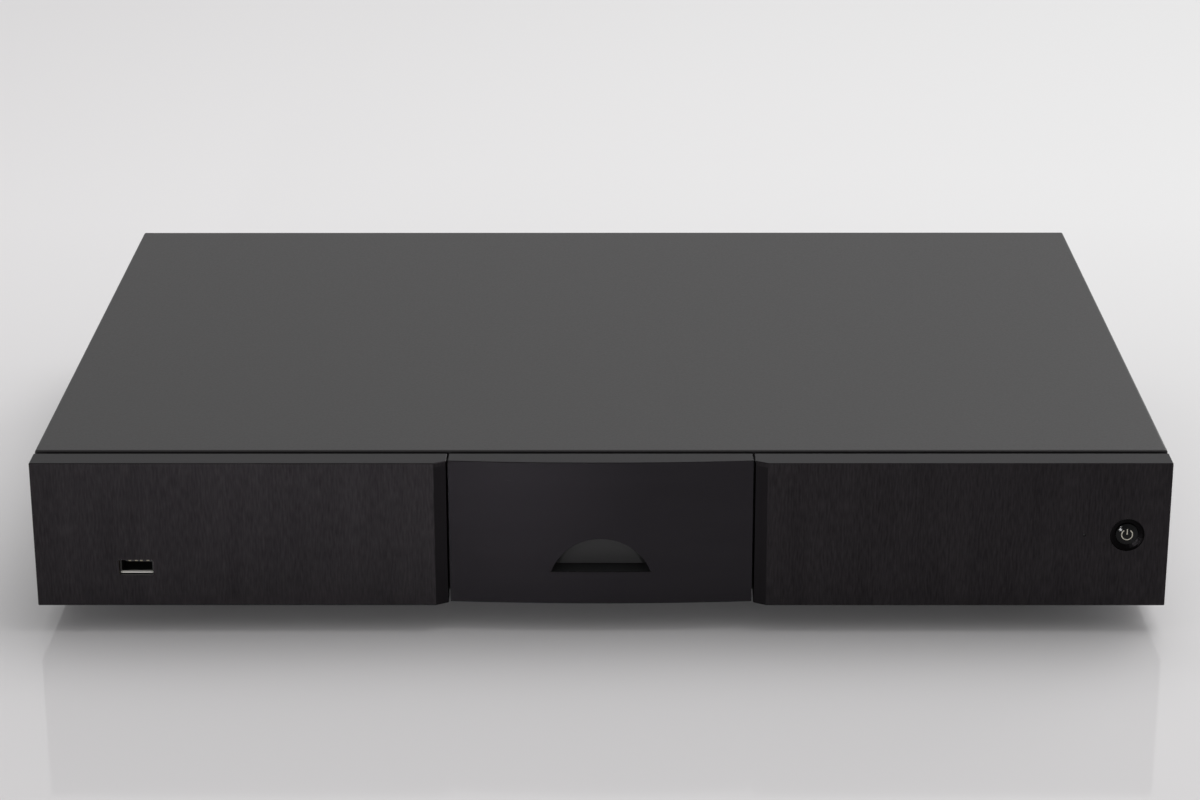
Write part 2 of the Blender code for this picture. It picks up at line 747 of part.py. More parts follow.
def make_rear_panel():
    outline = rectangle(-INNER_HALF, TRAY_BOTTOM, INNER_HALF, INNER_TOP)
    panel = prism("rear_panel", outline, REAR_THICKNESS, black_steel())
    place(panel, 0, REAR_INSIDE, 0, TO_REAR)
    low = TRAY_TOP + SEAT
    reach = INNER_HALF - TRAY_THICKNESS - CLEARED
    fold = prism(
        "rear_fold",
        rectangle(-reach, low, reach, low + REAR_THICKNESS),
        REAR_FOLD + REAR_THICKNESS / 2,
        black_steel(),
    )
    fuse(panel, place(fold, 0, REAR_INSIDE + REAR_THICKNESS / 2, 0, TO_FRONT))
    for name in ("phono_right", "phono_left", "coax_input"):
        rear_hole(panel, name, circle(PHONO_RADIUS + SEAT, ROUND), phono_middle())
    for name in ("bnc_input", "bnc_output"):
        rear_hole(panel, name, circle(BAYONET_RADIUS + SEAT, ROUND), bayonet_middle())
    for name in ("antenna_socket_right", "antenna_socket_left"):
        rear_hole(panel, name, circle(ANTENNA_RADIUS + SEAT, ROUND), antenna_middle())
    rear_hole(panel, "din_output", circle(DIN_RADIUS + SEAT, ROUND), din_middle())
    rear_hole(panel, "remote_jack", circle(JACK_RADIUS + SEAT, ROUND), jack_middle())
    cleared = centred(USB_WIDTH + CLEARED, USB_HEIGHT + CLEARED)
    rear_hole(panel, "usb_rear", cleared, usb_rear_middle())
    cleared = centred(NETWORK_WIDTH + CLEARED, NETWORK_HEIGHT + CLEARED)
    rear_hole(panel, "network_socket", cleared, network_middle())
    cleared = centred(OPTICAL_WIDTH + CLEARED, OPTICAL_HEIGHT + CLEARED)
    for name in ("optical_input_1", "optical_input_2"):
        rear_hole(panel, name, cleared, optical_middle())
    rear_hole(panel, "ground_switch", slide_pocket(), REAR_MIDDLE)
    width, height = rocker_body()
    rear_hole(panel, "mains_switch", centred(width + CLEARED, height + CLEARED), REAR_MIDDLE)
    cleared = centred(INLET_BODY_WIDTH + CLEARED, INLET_BODY_HEIGHT + CLEARED)
    rear_hole(panel, "mains_inlet", cleared, REAR_MIDDLE)
    return panel


def make_feet():
    height = TRAY_BOTTOM - SEAT
    profile = [
        (0, height),
        (FOOT_TOP_RADIUS, height),
        (FOOT_RADIUS, FOOT_EDGE),
        (FOOT_RADIUS - FOOT_EDGE, 0),
        (FOOT_SCREW_RADIUS, 0),
        (FOOT_SCREW_RADIUS, FOOT_SCREW_DEPTH),
        (0, FOOT_SCREW_DEPTH),
    ]
    reach = CASE_WIDTH / 2 - FOOT_SIDE_INSET
    for end, y in (("front", FRONT + FOOT_FRONT_INSET), ("rear", BACK - FOOT_BACK_INSET)):
        for side, x in (("left", -reach), ("right", reach)):
            place(turned(f"foot_{end}_{side}", profile, foot_rubber(), ROUND), x, y, 0)


# Fascia


def side_panel(name, side):
    """One flat panel, seen from above: square outside, chamfered where it meets the centre panel."""
    inner = CENTRE_WIDTH / 2 + CENTRE_JOINT
    outer = CASE_WIDTH / 2
    outline = [
        (side * inner, FASCIA_BACK),
        (side * inner, FRONT + CHAMFER_DEPTH),
        (side * (inner + CHAMFER_WIDTH), FRONT),
        (side * outer, FRONT),
        (side * outer, FASCIA_BACK),
    ]
    panel = prism(name, outline, FASCIA_TOP - GROUND_CLEARANCE, black_anodised())
    place(panel, 0, 0, GROUND_CLEARANCE)
    bevel = panel.modifiers.new("broken edges", "BEVEL")
    bevel.width = FASCIA_EDGE
    bevel.segments = 1
    bevel.limit_method = "ANGLE"
    low = GROUND_CLEARANCE + FASCIA_RIM
    start = inner + CHAMFER_WIDTH + FASCIA_RIM
    pocket = rectangle(start, low, outer - FASCIA_RIM, FASCIA_TOP - FASCIA_RIM)
    pocket = [(side * x, z) for x, z in pocket]
    depth = FASCIA_THICKNESS - FASCIA_WALL
    tool = prism(f"{name}_pocket", pocket, depth + OVERRUN, black_anodised())
    return cut(panel, place(tool, 0, FASCIA_BACK + OVERRUN, 0, TO_FRONT))


def make_left_panel():
    panel = side_panel("fascia_left", -1)
    hole = rounded(USB_WIDTH + CLEARED, USB_HEIGHT + CLEARED, USB_CORNER)
    tool = prism("usb_front_hole", hole, FASCIA_WALL + 2 * OVERRUN, black_anodised())
    cut(panel, place(tool, USB_X, FRONT + FASCIA_WALL + OVERRUN, USB_MIDDLE, TO_FRONT))


def make_right_panel():
    """The button's bore opens into a shallow dish, and a pinhole beside it serves the light sensor."""
    panel = side_panel("fascia_right", 1)
    bore = BUTTON_RADIUS + BORE_CLEARANCE
    slope = (DISH_RADIUS - bore) / DISH_DEPTH
    dish = [(0, OVERRUN), (DISH_RADIUS + OVERRUN * slope / 2, OVERRUN), (DISH_RADIUS, 0)]
    for share in DISH_SHARES:
        dish.append((bore + (DISH_RADIUS - bore) * (1 - share**2), -DISH_DEPTH * share))
    dish += [(bore, -DISH_DEPTH), (bore, -FASCIA_WALL - OVERRUN), (0, -FASCIA_WALL - OVERRUN)]
    tool = turned("button_dish_cutter", dish, black_anodised())
    cut(panel, place(tool, BUTTON_X, FRONT, BUTTON_MIDDLE, TO_FRONT))
    pinhole = circle(SENSOR_RADIUS, COARSE)
    tool = prism("sensor_cutter", pinhole, FASCIA_WALL + 2 * OVERRUN, black_anodised())
    x = BUTTON_X - SENSOR_FROM_BUTTON
    cut(panel, place(tool, x, FRONT + FASCIA_WALL + OVERRUN, BUTTON_MIDDLE, TO_FRONT))


def make_centre_panel():
    """Seen from above, its front is a shallow arc whose ends lie behind the side panels' chamfers."""
    half = CENTRE_WIDTH / 2
    radius = (half**2 + CENTRE_BOW**2) / (2 * CENTRE_BOW)
    reach = math.asin(half / radius)
    middle = FRONT + CENTRE_SETBACK + radius
    bow = arc(0, middle, radius, -math.pi / 2 - reach, -math.pi / 2 + reach, ARC)
    outline = bow + [(half, FASCIA_BACK), (-half, FASCIA_BACK)]
    low = GROUND_CLEARANCE + CENTRE_RISE
    panel = prism("fascia_centre", outline, FASCIA_TOP - low, centre_anodised(), FASCIA_EDGE)
    place(panel, 0, 0, low)
    hole = prism("badge_hole", half_moon(0, 0), FASCIA_THICKNESS + 2 * OVERRUN, centre_anodised())
    cut(panel, place(hole, 0, FASCIA_BACK + OVERRUN, GROUND_CLEARANCE + BADGE_BASE, TO_FRONT))


def make_badge():
    base = GROUND_CLEARANCE + BADGE_BASE
    back = FRONT + CENTRE_SETBACK + BADGE_DEPTH + LENS_THICKNESS
    lens = prism("badge_lens", half_moon(LENS_MARGIN, SEAT), LENS_THICKNESS, smoked_acrylic())
    place(lens, 0, back, base, TO_FRONT)
    length = SUBPANEL_BACK - back - SEAT
    guide = prism("badge_light_guide", half_moon(GUIDE_INSET, CLEARED), length, frosted_acrylic())
    place(guide, 0, SUBPANEL_BACK, base, TO_FRONT)
    outline = rounded(LED_BOARD_WIDTH, LED_BOARD_HEIGHT, OVERRUN)
    board = prism("badge_led_board", outline, BOARD_THICKNESS, circuit_board())
    place(board, 0, SUBPANEL_BACK + SEAT + BOARD_THICKNESS, base + BADGE_HEIGHT / 2, TO_FRONT)


# Sockets of type A


def usb_socket(name, x, mouth, z, turn, along):
    """A rolled shell with a moulded block at its back that carries the tongue. The mouth is its outer end in Y."""
    shell = prism(f"{name}_shell", rounded(USB_WIDTH, USB_HEIGHT, USB_CORNER), USB_LENGTH, nickel())
    back = mouth - along * USB_LENGTH
    place(shell, x, back, z, turn)
    width = USB_WIDTH - 2 * USB_WALL
    height = USB_HEIGHT - 2 * USB_WALL
    bore = prism(f"{name}_bore", centred(width, height), USB_LENGTH + 2 * OVERRUN, nickel())
    cut(shell, place(bore, x, back - along * OVERRUN, z, turn))
    top = height / 2 - TONGUE_DROP
    outline = [
        (0, SEAT - height / 2),
        (USB_ROOT, SEAT - height / 2),
        (USB_ROOT, top - TONGUE_THICKNESS),
        (USB_ROOT + TONGUE_LENGTH, top - TONGUE_THICKNESS),
        (USB_ROOT + TONGUE_LENGTH, top),
        (USB_ROOT, top),
        (USB_ROOT, height / 2 - SEAT),
        (0, height / 2 - SEAT),
    ]
    outline = [(along * y, z) for y, z in outline]
    tongue = prism(f"{name}_tongue", outline, width - CLEARED, black_plastic())
    place(tongue, x - width / 2 + SEAT, back, z, TO_RIGHT)
    trim = (width - TONGUE_WIDTH) / 2
    for side in (-1, 1):
        outline = rectangle(-trim / 2, -USB_HEIGHT, trim / 2, USB_HEIGHT)
        tool = prism(f"{name}_tongue_trim_{side + 2}", outline, TONGUE_LENGTH + OVERRUN, black_plastic())
        start = back + along * USB_ROOT
        cut(tongue, place(tool, x + side * (width - trim) / 2, start, z, turn))


def make_front_usb():
    usb_socket("usb_front", USB_X, FRONT + USB_SUNK, USB_MIDDLE, TO_FRONT, -1)
    top = USB_MIDDLE - USB_HEIGHT / 2 - SEAT
    front = SUBPANEL_BACK + SEAT
    half = USB_WIDTH / 2 + USB_BOARD_SIDE
    outline = rectangle(-half, front, half, front + USB_BOARD_LENGTH)
    board = prism("usb_front_board", outline, BOARD_THICKNESS, circuit_board())
    place(board, USB_X, 0, top - BOARD_THICKNESS)


# Power button


def make_button():
    """Cap, flange and stem, turned about the axis that the button travels along."""
    rim = -(BUTTON_SUNK + BUTTON_DOME)
    flange = -(FASCIA_WALL + SEAT)
    back = flange - BUTTON_FLANGE_THICKNESS
    profile = [(0, rim + BUTTON_DOME)]
    for share in DOME_SHARES:
        profile.append((BUTTON_RADIUS * share, rim + BUTTON_DOME * (1 - share**2)))
    profile += [
        (BUTTON_RADIUS, rim),
        (BUTTON_RADIUS, flange),
        (BUTTON_RADIUS + BUTTON_FLANGE, flange),
        (BUTTON_RADIUS + BUTTON_FLANGE, back),
        (BUTTON_STEM_RADIUS, back),
        (BUTTON_STEM_RADIUS, back - BUTTON_STEM),
        (0, back - BUTTON_STEM),
    ]
    place(turned("power_button", profile, gloss_button()), BUTTON_X, FRONT, BUTTON_MIDDLE, TO_FRONT)
    plunger_front = FRONT - back + BUTTON_STEM + SEAT
    plunger = prism("switch_plunger", circle(PLUNGER_RADIUS, COARSE), PLUNGER_LENGTH, nickel())
    place(plunger, BUTTON_X, plunger_front + PLUNGER_LENGTH, BUTTON_MIDDLE, TO_FRONT)
    return plunger_front


def make_switch(plunger_front):
    """The switch body's front leaves the stem room to travel, and the guide ring keeps the flange centred."""
    front = plunger_front + BUTTON_TRAVEL + SEAT
    back = SWITCH_BOARD_FRONT - SEAT
    side = SWITCH_SIDE
    body = prism("power_switch", rounded(side, side, SENSOR_RADIUS), back - front, black_plastic())
    place(body, BUTTON_X, back, BUTTON_MIDDLE, TO_FRONT)
    tool = circle(PLUNGER_RADIUS + SEAT, COARSE)
    tool = prism("plunger_bore", tool, back - front + 2 * OVERRUN, black_plastic())
    cut(body, place(tool, BUTTON_X, back + OVERRUN, BUTTON_MIDDLE, TO_FRONT))
    length = back - FRONT - FASCIA_WALL - SEAT
    inner = BUTTON_RADIUS + BUTTON_FLANGE + SEAT
    section = rectangle(inner, 0, inner + GUIDE_WALL, length)
    guide = ring("button_guide", section, black_plastic())
    place(guide, BUTTON_X, back, BUTTON_MIDDLE, TO_FRONT)


def make_switch_board():
    left = BUTTON_X - SENSOR_FROM_BUTTON - PIPE_FOOT_RADIUS - USB_BOARD_SIDE
    right = CASE_WIDTH / 2 - FASCIA_RIM - SEAT
    side = SWITCH_BOARD_SIDE
    outline = rectangle(left, BUTTON_MIDDLE - side, right, BUTTON_MIDDLE + side)
    board = prism("switch_board", outline, BOARD_THICKNESS, circuit_board())
    place(board, 0, SWITCH_BOARD_BACK, 0, TO_FRONT)
    length = SWITCH_BOARD_FRONT - SEAT - FRONT - SEAT
    profile = [
        (0, length),
        (PIPE_RADIUS, length),
        (PIPE_RADIUS, PIPE_FOOT),
        (PIPE_FOOT_RADIUS, PIPE_FOOT),
        (PIPE_FOOT_RADIUS, 0),
        (0, 0),
    ]
    pipe = turned("sensor_light_pipe", profile, smoked_acrylic(), COARSE)
    place(pipe, BUTTON_X - SENSOR_FROM_BUTTON, SWITCH_BOARD_FRONT - SEAT, BUTTON_MIDDLE, TO_FRONT)


# Transformer and power supply


def make_transformer():
    """Wound ring with round shoulders, its section closed by four arcs."""
    low = TRAY_TOP + SEAT
    pad = ring("transformer_pad", rectangle(COIL_HOLE, 0, PAD_RADIUS, PAD_THICKNESS), foot_rubber())
    place(pad, COIL_X, COIL_Y, low)
    inner = COIL_HOLE + COIL_ROUND
    outer = COIL_RADIUS - COIL_ROUND
    high = COIL_HEIGHT - COIL_ROUND
    quarter = math.pi / 2
    section = arc(inner, high, COIL_ROUND, quarter, 2 * quarter, 4)
    section += arc(inner, COIL_ROUND, COIL_ROUND, 2 * quarter, 3 * quarter, 4)
    section += arc(outer, COIL_ROUND, COIL_ROUND, -quarter, 0, 4)
    section += arc(outer, high, COIL_ROUND, 0, quarter, 4)
    place(ring("transformer_coil", section, wound_tape(), FINE), COIL_X, COIL_Y, COIL_BOTTOM)
    seat = COIL_BOTTOM + COIL_HEIGHT + SEAT
    hole = BOLT_RADIUS + SEAT
    thick = DISH_WASHER_THICKNESS
    section = [
        (hole, -DISH_WASHER_SINK),
        (COIL_HOLE - SEAT, -DISH_WASHER_SINK),
        (COIL_HOLE + COIL_ROUND / 2, 0),
        (DISH_WASHER_RADIUS, 0),
        (DISH_WASHER_RADIUS, thick),
        (COIL_HOLE + (COIL_ROUND - thick) / 2, thick),
        (COIL_HOLE - SEAT - thick / 2, thick - DISH_WASHER_SINK),
        (hole, thick - DISH_WASHER_SINK),
    ]
    place(ring("transformer_dish", section, zinc_steel()), COIL_X, COIL_Y, seat)
    head = seat + thick - DISH_WASHER_SINK + SEAT
    profile = [
        (0, head + BOLT_HEAD),
        (BOLT_HEAD_RADIUS, head + BOLT_HEAD),
        (BOLT_HEAD_RADIUS, head),
        (BOLT_RADIUS, head),
        (BOLT_RADIUS, low),
        (0, low),
    ]
    place(turned("transformer_bolt", profile, zinc_steel(), COARSE), COIL_X, COIL_Y, 0)


def power_board_sides():
    left = -INNER_HALF + BOARD_MARGIN
    right = MAIN_LEFT - SPACE
    return left, BEHIND_COIL, right, REAR_INSIDE - INLET_DEPTH - SPACE


def main_board_sides():
    left = COIL_X + COIL_RADIUS + SPACE
    front = SUBPANEL_BACK + MAIN_BOARD_FRONT
    return left, front, INNER_HALF - BOARD_MARGIN, REAR_INSIDE - SEAT


def make_power_supply():
    left, front, right, back = power_board_sides()
    board = prism("power_board", rectangle(left, front, right, back), BOARD_THICKNESS, circuit_board())
    place(board, 0, 0, BOARD_BOTTOM)
    profile = [
        (0, SUPPLY_HEIGHT),
        (CAPACITOR_RADIUS - CAPACITOR_EDGE, SUPPLY_HEIGHT),
        (CAPACITOR_RADIUS, SUPPLY_HEIGHT - CAPACITOR_EDGE),
        (CAPACITOR_RADIUS, 0),
        (0, 0),
    ]
    inset = STANDOFF_INSET + STANDOFF_RADIUS + CAPACITOR_RADIUS
    step = 2 * CAPACITOR_RADIUS + SPACE
    for number in (1, 2):
        can = turned(f"reservoir_capacitor_{number}", profile, capacitor_sleeve())
        place(can, left + inset, front + inset + (number - 1) * step, SOCKET_BASE)
    heatsink = prism("regulator_heatsink", fin_outline(), SUPPLY_HEIGHT, heatsink_metal())
    place(heatsink, right - HEATSINK_DEPTH - SPACE, front + inset, SOCKET_BASE)


def fin_outline():
    """A spine along Y with even fins standing out towards +X, seen from above."""
    pitch = (HEATSINK_LENGTH - HEATSINK_FIN) / (HEATSINK_FINS - 1)
    start = -CAPACITOR_RADIUS
    outline = [(0, start + HEATSINK_LENGTH), (0, start)]
    for number in range(HEATSINK_FINS):
        low = start + number * pitch
        if number:
            outline.append((HEATSINK_BASE, low))
        outline.append((HEATSINK_DEPTH, low))
        outline.append((HEATSINK_DEPTH, low + HEATSINK_FIN))
        if number < HEATSINK_FINS - 1:
            outline.append((HEATSINK_BASE, low + HEATSINK_FIN))
    return outline


# Signal boards


def make_main_board():
    """Runs from the sockets to the front, stepped round the transformer. Four pillars carry the streamer board."""
    left, front, right, back = main_board_sides()
    outline = [
        (left, front),
        (right, front),
        (right, back),
        (MAIN_LEFT, back),
        (MAIN_LEFT, BEHIND_COIL),
        (left, BEHIND_COIL),
    ]
    board = prism("main_board", outline, BOARD_THICKNESS, circuit_board())
    place(board, 0, 0, BOARD_BOTTOM)
    across = STREAMER_WIDTH / 2 - STANDOFF_INSET
    deep = STREAMER_DEPTH / 2 - STANDOFF_INSET
    posts = [circle(PILLAR_RADIUS, COARSE, x, y) for x in (-across, across) for y in (-deep, deep)]
    pillars = prisms("pillars", posts, PILLAR_HEIGHT + BOARD_THICKNESS / 2, zinc_steel())
    fuse(board, place(pillars, STREAMER_X, STREAMER_Y, BOARD_TOP - BOARD_THICKNESS / 2))


def make_streamer():
    board = prism("streamer_board", centred(STREAMER_WIDTH, STREAMER_DEPTH), BOARD_THICKNESS, circuit_board())
    place(board, STREAMER_X, STREAMER_Y, STREAMER_BOTTOM)
    low = STREAMER_TOP + SEAT
    can = prism("shield_can", centred(CAN_WIDTH, CAN_DEPTH), CAN_HEIGHT, nickel(), CAN_WALL / 2)
    place(can, STREAMER_X, STREAMER_Y, low)
    inside = centred(CAN_WIDTH - 2 * CAN_WALL, CAN_DEPTH - 2 * CAN_WALL)
    tool = prism("can_hollow", inside, CAN_HEIGHT - CAN_WALL + OVERRUN, nickel())
    cut(can, place(tool, STREAMER_X, STREAMER_Y, low - OVERRUN))


# Wiring


def ribbon_x():
    return BUTTON_X - SENSOR_FROM_BUTTON / 2


def ribbon_top():
    return BUTTON_MIDDLE - RIBBON_DROP


def make_ribbon():
    """From the back of the switch board, through its slot, down in an easy bend and on to the main board."""
    half = RIBBON_THICKNESS / 2
    edge = SUBPANEL_BACK + MAIN_BOARD_FRONT
    low = BOARD_TOP + SEAT + half
    start = FASCIA_BACK + SEAT
    bend = min(MAIN_BOARD_FRONT / 4, (ribbon_top() - low) / 2)
    points = [(start, ribbon_top()), (SUBPANEL_BACK + bend, ribbon_top())]
    points += [(SUBPANEL_BACK + 2 * bend, (ribbon_top() + low) / 2)]
    points += [(SUBPANEL_BACK + 3 * bend, low), (edge + RIBBON_WIDTH, low)]
    path = strip(rounded_path(points), RIBBON_THICKNESS)
    ribbon = prism("front_ribbon", path, RIBBON_WIDTH, grey_ribbon())
    place(ribbon, ribbon_x() - RIBBON_WIDTH / 2, 0, 0, TO_RIGHT)


def rounded_path(points):
    """Replaces each corner by two points a quarter of the way along the stretches that meet there."""
    path = [points[0]]
    for before, point, after in zip(points, points[1:], points[2:]):
        path.append(tuple(p + (b - p) / 4 for p, b in zip(point, before)))
        path.append(tuple(p + (a - p) / 4 for p, a in zip(point, after)))
    return path + [points[-1]]


def make_leads():
    radius = LEAD_RADIUS
    floor = TRAY_TOP + SEAT + radius
    on_main = BOARD_TOP + SEAT + radius
    on_streamer = STREAMER_TOP + SEAT + radius
    board = USB_MIDDLE - USB_HEIGHT / 2 - SEAT - BOARD_THICKNESS / 2
    start = USB_X + USB_WIDTH / 2 + USB_BOARD_SIDE + SEAT
    lane = SUBPANEL_BACK + COIL_FRONT_MARGIN / 2
    streamer_front = STREAMER_Y - STREAMER_DEPTH / 2
    points = [
        (start, lane, board),
        (start + radius / 2, lane, board),
        (start + radius, lane, board),
        (start + LEAD_BEND, lane, (board + floor) / 2),
        (start + 2 * LEAD_BEND, lane, floor),
        (COIL_X + COIL_RADIUS, lane, floor),
        (STREAMER_X - 3 * LEAD_BEND, lane, floor),
        (STREAMER_X - LEAD_BEND, lane + radius, floor + radius),
        (STREAMER_X, lane + LEAD_BEND, on_main + radius),
        (STREAMER_X, (lane + streamer_front) / 2 + LEAD_BEND, (on_main + on_streamer) / 2),
        (STREAMER_X, streamer_front - radius, on_streamer + SEAT),
        (STREAMER_X, streamer_front + LEAD_BEND, on_streamer + SEAT),
    ]
    tube("usb_lead", points, radius, lead_jacket())
    _, front, _, _ = power_board_sides()
    start = COIL_Y + COIL_RADIUS + SEAT
    middle = COIL_BOTTOM + COIL_HEIGHT / 2
    points = [
        (COIL_X, start, middle),
        (COIL_X, start + radius / 2, middle),
        (COIL_X, start + radius, middle),
        (COIL_X, front + 2 * radius, (middle + on_main) / 2),
        (COIL_X, front + LEAD_BEND, on_main + SEAT),
        (COIL_X, front + 2 * LEAD_BEND, on_main + SEAT),
    ]
    tube("transformer_lead", points, radius, lead_jacket())


# Mains inlet


def make_inlet():
    """Flange outside the panel and body inside it. The socket lies above the fuse drawer's slot."""
    x = PLACES["mains_inlet"]
    face = REAR_OUTSIDE + SEAT + INLET_FLANGE
    flange = rounded(INLET_FLANGE_WIDTH, INLET_FLANGE_HEIGHT, INLET_CORNER)
    inlet = prism("mains_inlet", flange, INLET_FLANGE, black_plastic(), SEAT)
    place(inlet, x, REAR_OUTSIDE + SEAT, REAR_MIDDLE, TO_REAR)
    depth = INLET_CAVITY_DEPTH + INLET_FLOOR
    body = prism("inlet_body", centred(INLET_BODY_WIDTH, INLET_BODY_HEIGHT), depth - SEAT, black_plastic())
    fuse(inlet, place(body, x, face - depth, REAR_MIDDLE, TO_REAR))
    middle = cavity_middle()
    wide = INLET_CAVITY_WIDTH / 2
    high = INLET_CAVITY_HEIGHT / 2
    bevel = INLET_CAVITY_CHAMFER
    cavity = [(wide, -high), (wide, high - bevel), (wide - bevel, high)]
    cavity += [(-x, y) for x, y in cavity[::-1]]
    tool = prism("inlet_cavity", cavity, INLET_CAVITY_DEPTH + OVERRUN, black_plastic())
    cut(inlet, place(tool, x, face - INLET_CAVITY_DEPTH, middle, TO_REAR))
    outline = centred(DRAWER_WIDTH + CLEARED, DRAWER_HEIGHT + CLEARED)
    length = DRAWER_LENGTH - DRAWER_PROUD + SEAT
    tool = prism("drawer_slot", outline, length + OVERRUN, black_plastic())
    cut(inlet, place(tool, x, face - length, drawer_middle(), TO_REAR))
    pins = []
    for across, up in ((-PIN_SPACING, -1), (0, 1), (PIN_SPACING, -1)):
        shape = centred(PIN_WIDTH, PIN_HEIGHT)
        pins.append([(across + u, up * PIN_HEIGHT / 2 + v) for u, v in shape])
    tool = prisms("inlet_pins", pins, PIN_LENGTH + INLET_FLOOR / 2, nickel())
    fuse(inlet, place(tool, x, face - INLET_CAVITY_DEPTH - INLET_FLOOR / 2, middle, TO_REAR))


def cavity_middle():
    top = REAR_MIDDLE + INLET_BODY_HEIGHT / 2 - INLET_WALL
    return top - INLET_CAVITY_HEIGHT / 2


def drawer_middle():
    return REAR_MIDDLE - INLET_BODY_HEIGHT / 2 + INLET_WALL + SEAT + DRAWER_HEIGHT / 2


def make_fuse_drawer():
    """A shallow trough behind its front plate, with the fuse lying across it."""
    x = PLACES["mains_inlet"]
    front = REAR_OUTSIDE + SEAT + INLET_FLANGE + DRAWER_PROUD
    z = drawer_middle()
    drawer = prism("fuse_drawer", centred(DRAWER_WIDTH, DRAWER_HEIGHT), DRAWER_LENGTH, black_plastic())
    place(drawer, x, front - DRAWER_LENGTH, z, TO_REAR)
    trough = 2 * FUSE_RADIUS + CLEARED
    fuse_y = front - DRAWER_FRONT - trough / 2
    outline = rectangle(-trough / 2, -trough / 2, trough / 2, DRAWER_HEIGHT)
    tool = prism("fuse_trough", outline, FUSE_LENGTH + CLEARED, black_plastic())
    start = x - FUSE_LENGTH / 2 - SEAT
    low = z - DRAWER_HEIGHT / 2 + DRAWER_WALL
    cut(drawer, place(tool, start, fuse_y, low + trough / 2, TO_RIGHT))
    notch = prism("drawer_notch", centred(DRAWER_NOTCH_WIDTH, DRAWER_NOTCH), DRAWER_PROUD, black_plastic())
    cut(drawer, place(notch, x, front - DRAWER_PROUD / 2, z, TO_REAR))
    link = prism("fuse", circle(FUSE_RADIUS, COARSE), FUSE_LENGTH, clear_glass())
    place(link, x - FUSE_LENGTH / 2, fuse_y, low + SEAT + FUSE_RADIUS, TO_RIGHT)


# Mains switch


def rocker_body():
    return ROCKER_WIDTH + CLEARED + 2 * ROCKER_WALL, 2 * (ROCKER_REACH + SEAT + ROCKER_WALL)


def make_rocker_housing():
    x = PLACES["mains_switch"]
    width, height = rocker_body()
    rim = 2 * ROCKER_FLANGE_WIDTH
    flange = rounded(width + rim, height + rim, ROCKER_FLANGE_WIDTH)
    housing = prism("rocker_housing", flange, ROCKER_FLANGE, black_plastic(), SEAT)
    place(housing, x, REAR_OUTSIDE + SEAT, REAR_MIDDLE, TO_REAR)
    body = prism("rocker_cup", centred(width, height), ROCKER_DEPTH, black_plastic())
    face = REAR_OUTSIDE + SEAT + ROCKER_FLANGE
    fuse(housing, place(body, x, face - SEAT - ROCKER_DEPTH, REAR_MIDDLE, TO_REAR))
    well = centred(width - 2 * ROCKER_WALL, height - 2 * ROCKER_WALL)
    tool = prism("rocker_well", well, ROCKER_DEPTH - ROCKER_WALL + OVERRUN, black_plastic())
    cut(housing, place(tool, x, face - ROCKER_DEPTH + ROCKER_WALL - SEAT, REAR_MIDDLE, TO_REAR))


def make_rocker():
    """Two flat halves that meet in a shallow V, with ends that are arcs about the pivot. It rests tilted."""
    rise = math.atan2(ROCKER_HEIGHT + ROCKER_REACH * math.sin(ROCKER_TILT), ROCKER_REACH * math.cos(ROCKER_TILT))
    fall = -2 * ROCKER_TILT
    end = arc(0, 0, ROCKER_REACH, fall, rise, 6)
    half = [(0, -ROCKER_REACH * 2 / 3)] + end + [(0, ROCKER_HEIGHT)]
    outline = half + [(-u, v) for u, v in half[-2:0:-1]]
    # Drawn with the face towards +Y of the object: u runs up and v runs out of the back
    outline = [(v, u) for u, v in outline]
    rocker = prism("mains_rocker", outline, ROCKER_WIDTH, black_plastic())
    turn = (TO_RIGHT[0], 0, TO_RIGHT[2])
    pivot = REAR_OUTSIDE + SEAT + ROCKER_FLANGE - ROCKER_HEIGHT
    for vert in rocker.data.vertices:
        vert.co.z -= ROCKER_WIDTH / 2
        u, v = vert.co.y, vert.co.x
        vert.co.y = u * math.cos(ROCKER_TILT) - v * math.sin(ROCKER_TILT)
        vert.co.x = u * math.sin(ROCKER_TILT) + v * math.cos(ROCKER_TILT)
    place(rocker, PLACES["mains_switch"], pivot, REAR_MIDDLE, turn)


# Ground lift switch


def slide_pocket():
    return centred(SLIDER_WIDTH + SLIDER_TRAVEL + CLEARED, SLIDER_HEIGHT + CLEARED)


def make_ground_switch():
    x = PLACES["ground_switch"]
    back = REAR_INSIDE - SEAT - SLIDE_SWITCH_DEPTH
    body = centred(SLIDE_SWITCH_WIDTH, SLIDE_SWITCH_HEIGHT)
    body = prism("ground_switch_body", body, SLIDE_SWITCH_DEPTH, nickel())
    place(body, x, back, REAR_MIDDLE, TO_REAR)
    tool = prism("slider_pocket", slide_pocket(), SLIDER_DEPTH + OVERRUN, nickel())
    cut(body, place(tool, x, REAR_INSIDE - SEAT - SLIDER_DEPTH, REAR_MIDDLE, TO_REAR))
    length = SLIDER_DEPTH + REAR_THICKNESS + SLIDER_PROUD
    slider = prism("ground_slider", centred(SLIDER_WIDTH, SLIDER_HEIGHT), length, black_plastic(), SEAT)
    start = REAR_INSIDE - SLIDER_DEPTH
    place(slider, x + SLIDER_TRAVEL / 2, start, REAR_MIDDLE, TO_REAR)


# Round sockets


def phono_middle():
    return SOCKET_BASE + PHONO_BLOCK_WIDTH / 2 + SPACE / 2


def bayonet_middle():
    return SOCKET_BASE + BAYONET_BLOCK_WIDTH / 2 + SPACE / 3


def din_middle():
    return SOCKET_BASE + DIN_RADIUS + SPACE / 6


def jack_middle():
    return SOCKET_BASE + JACK_BLOCK_WIDTH / 2


def antenna_middle():
    return INNER_TOP - ANTENNA_DROP


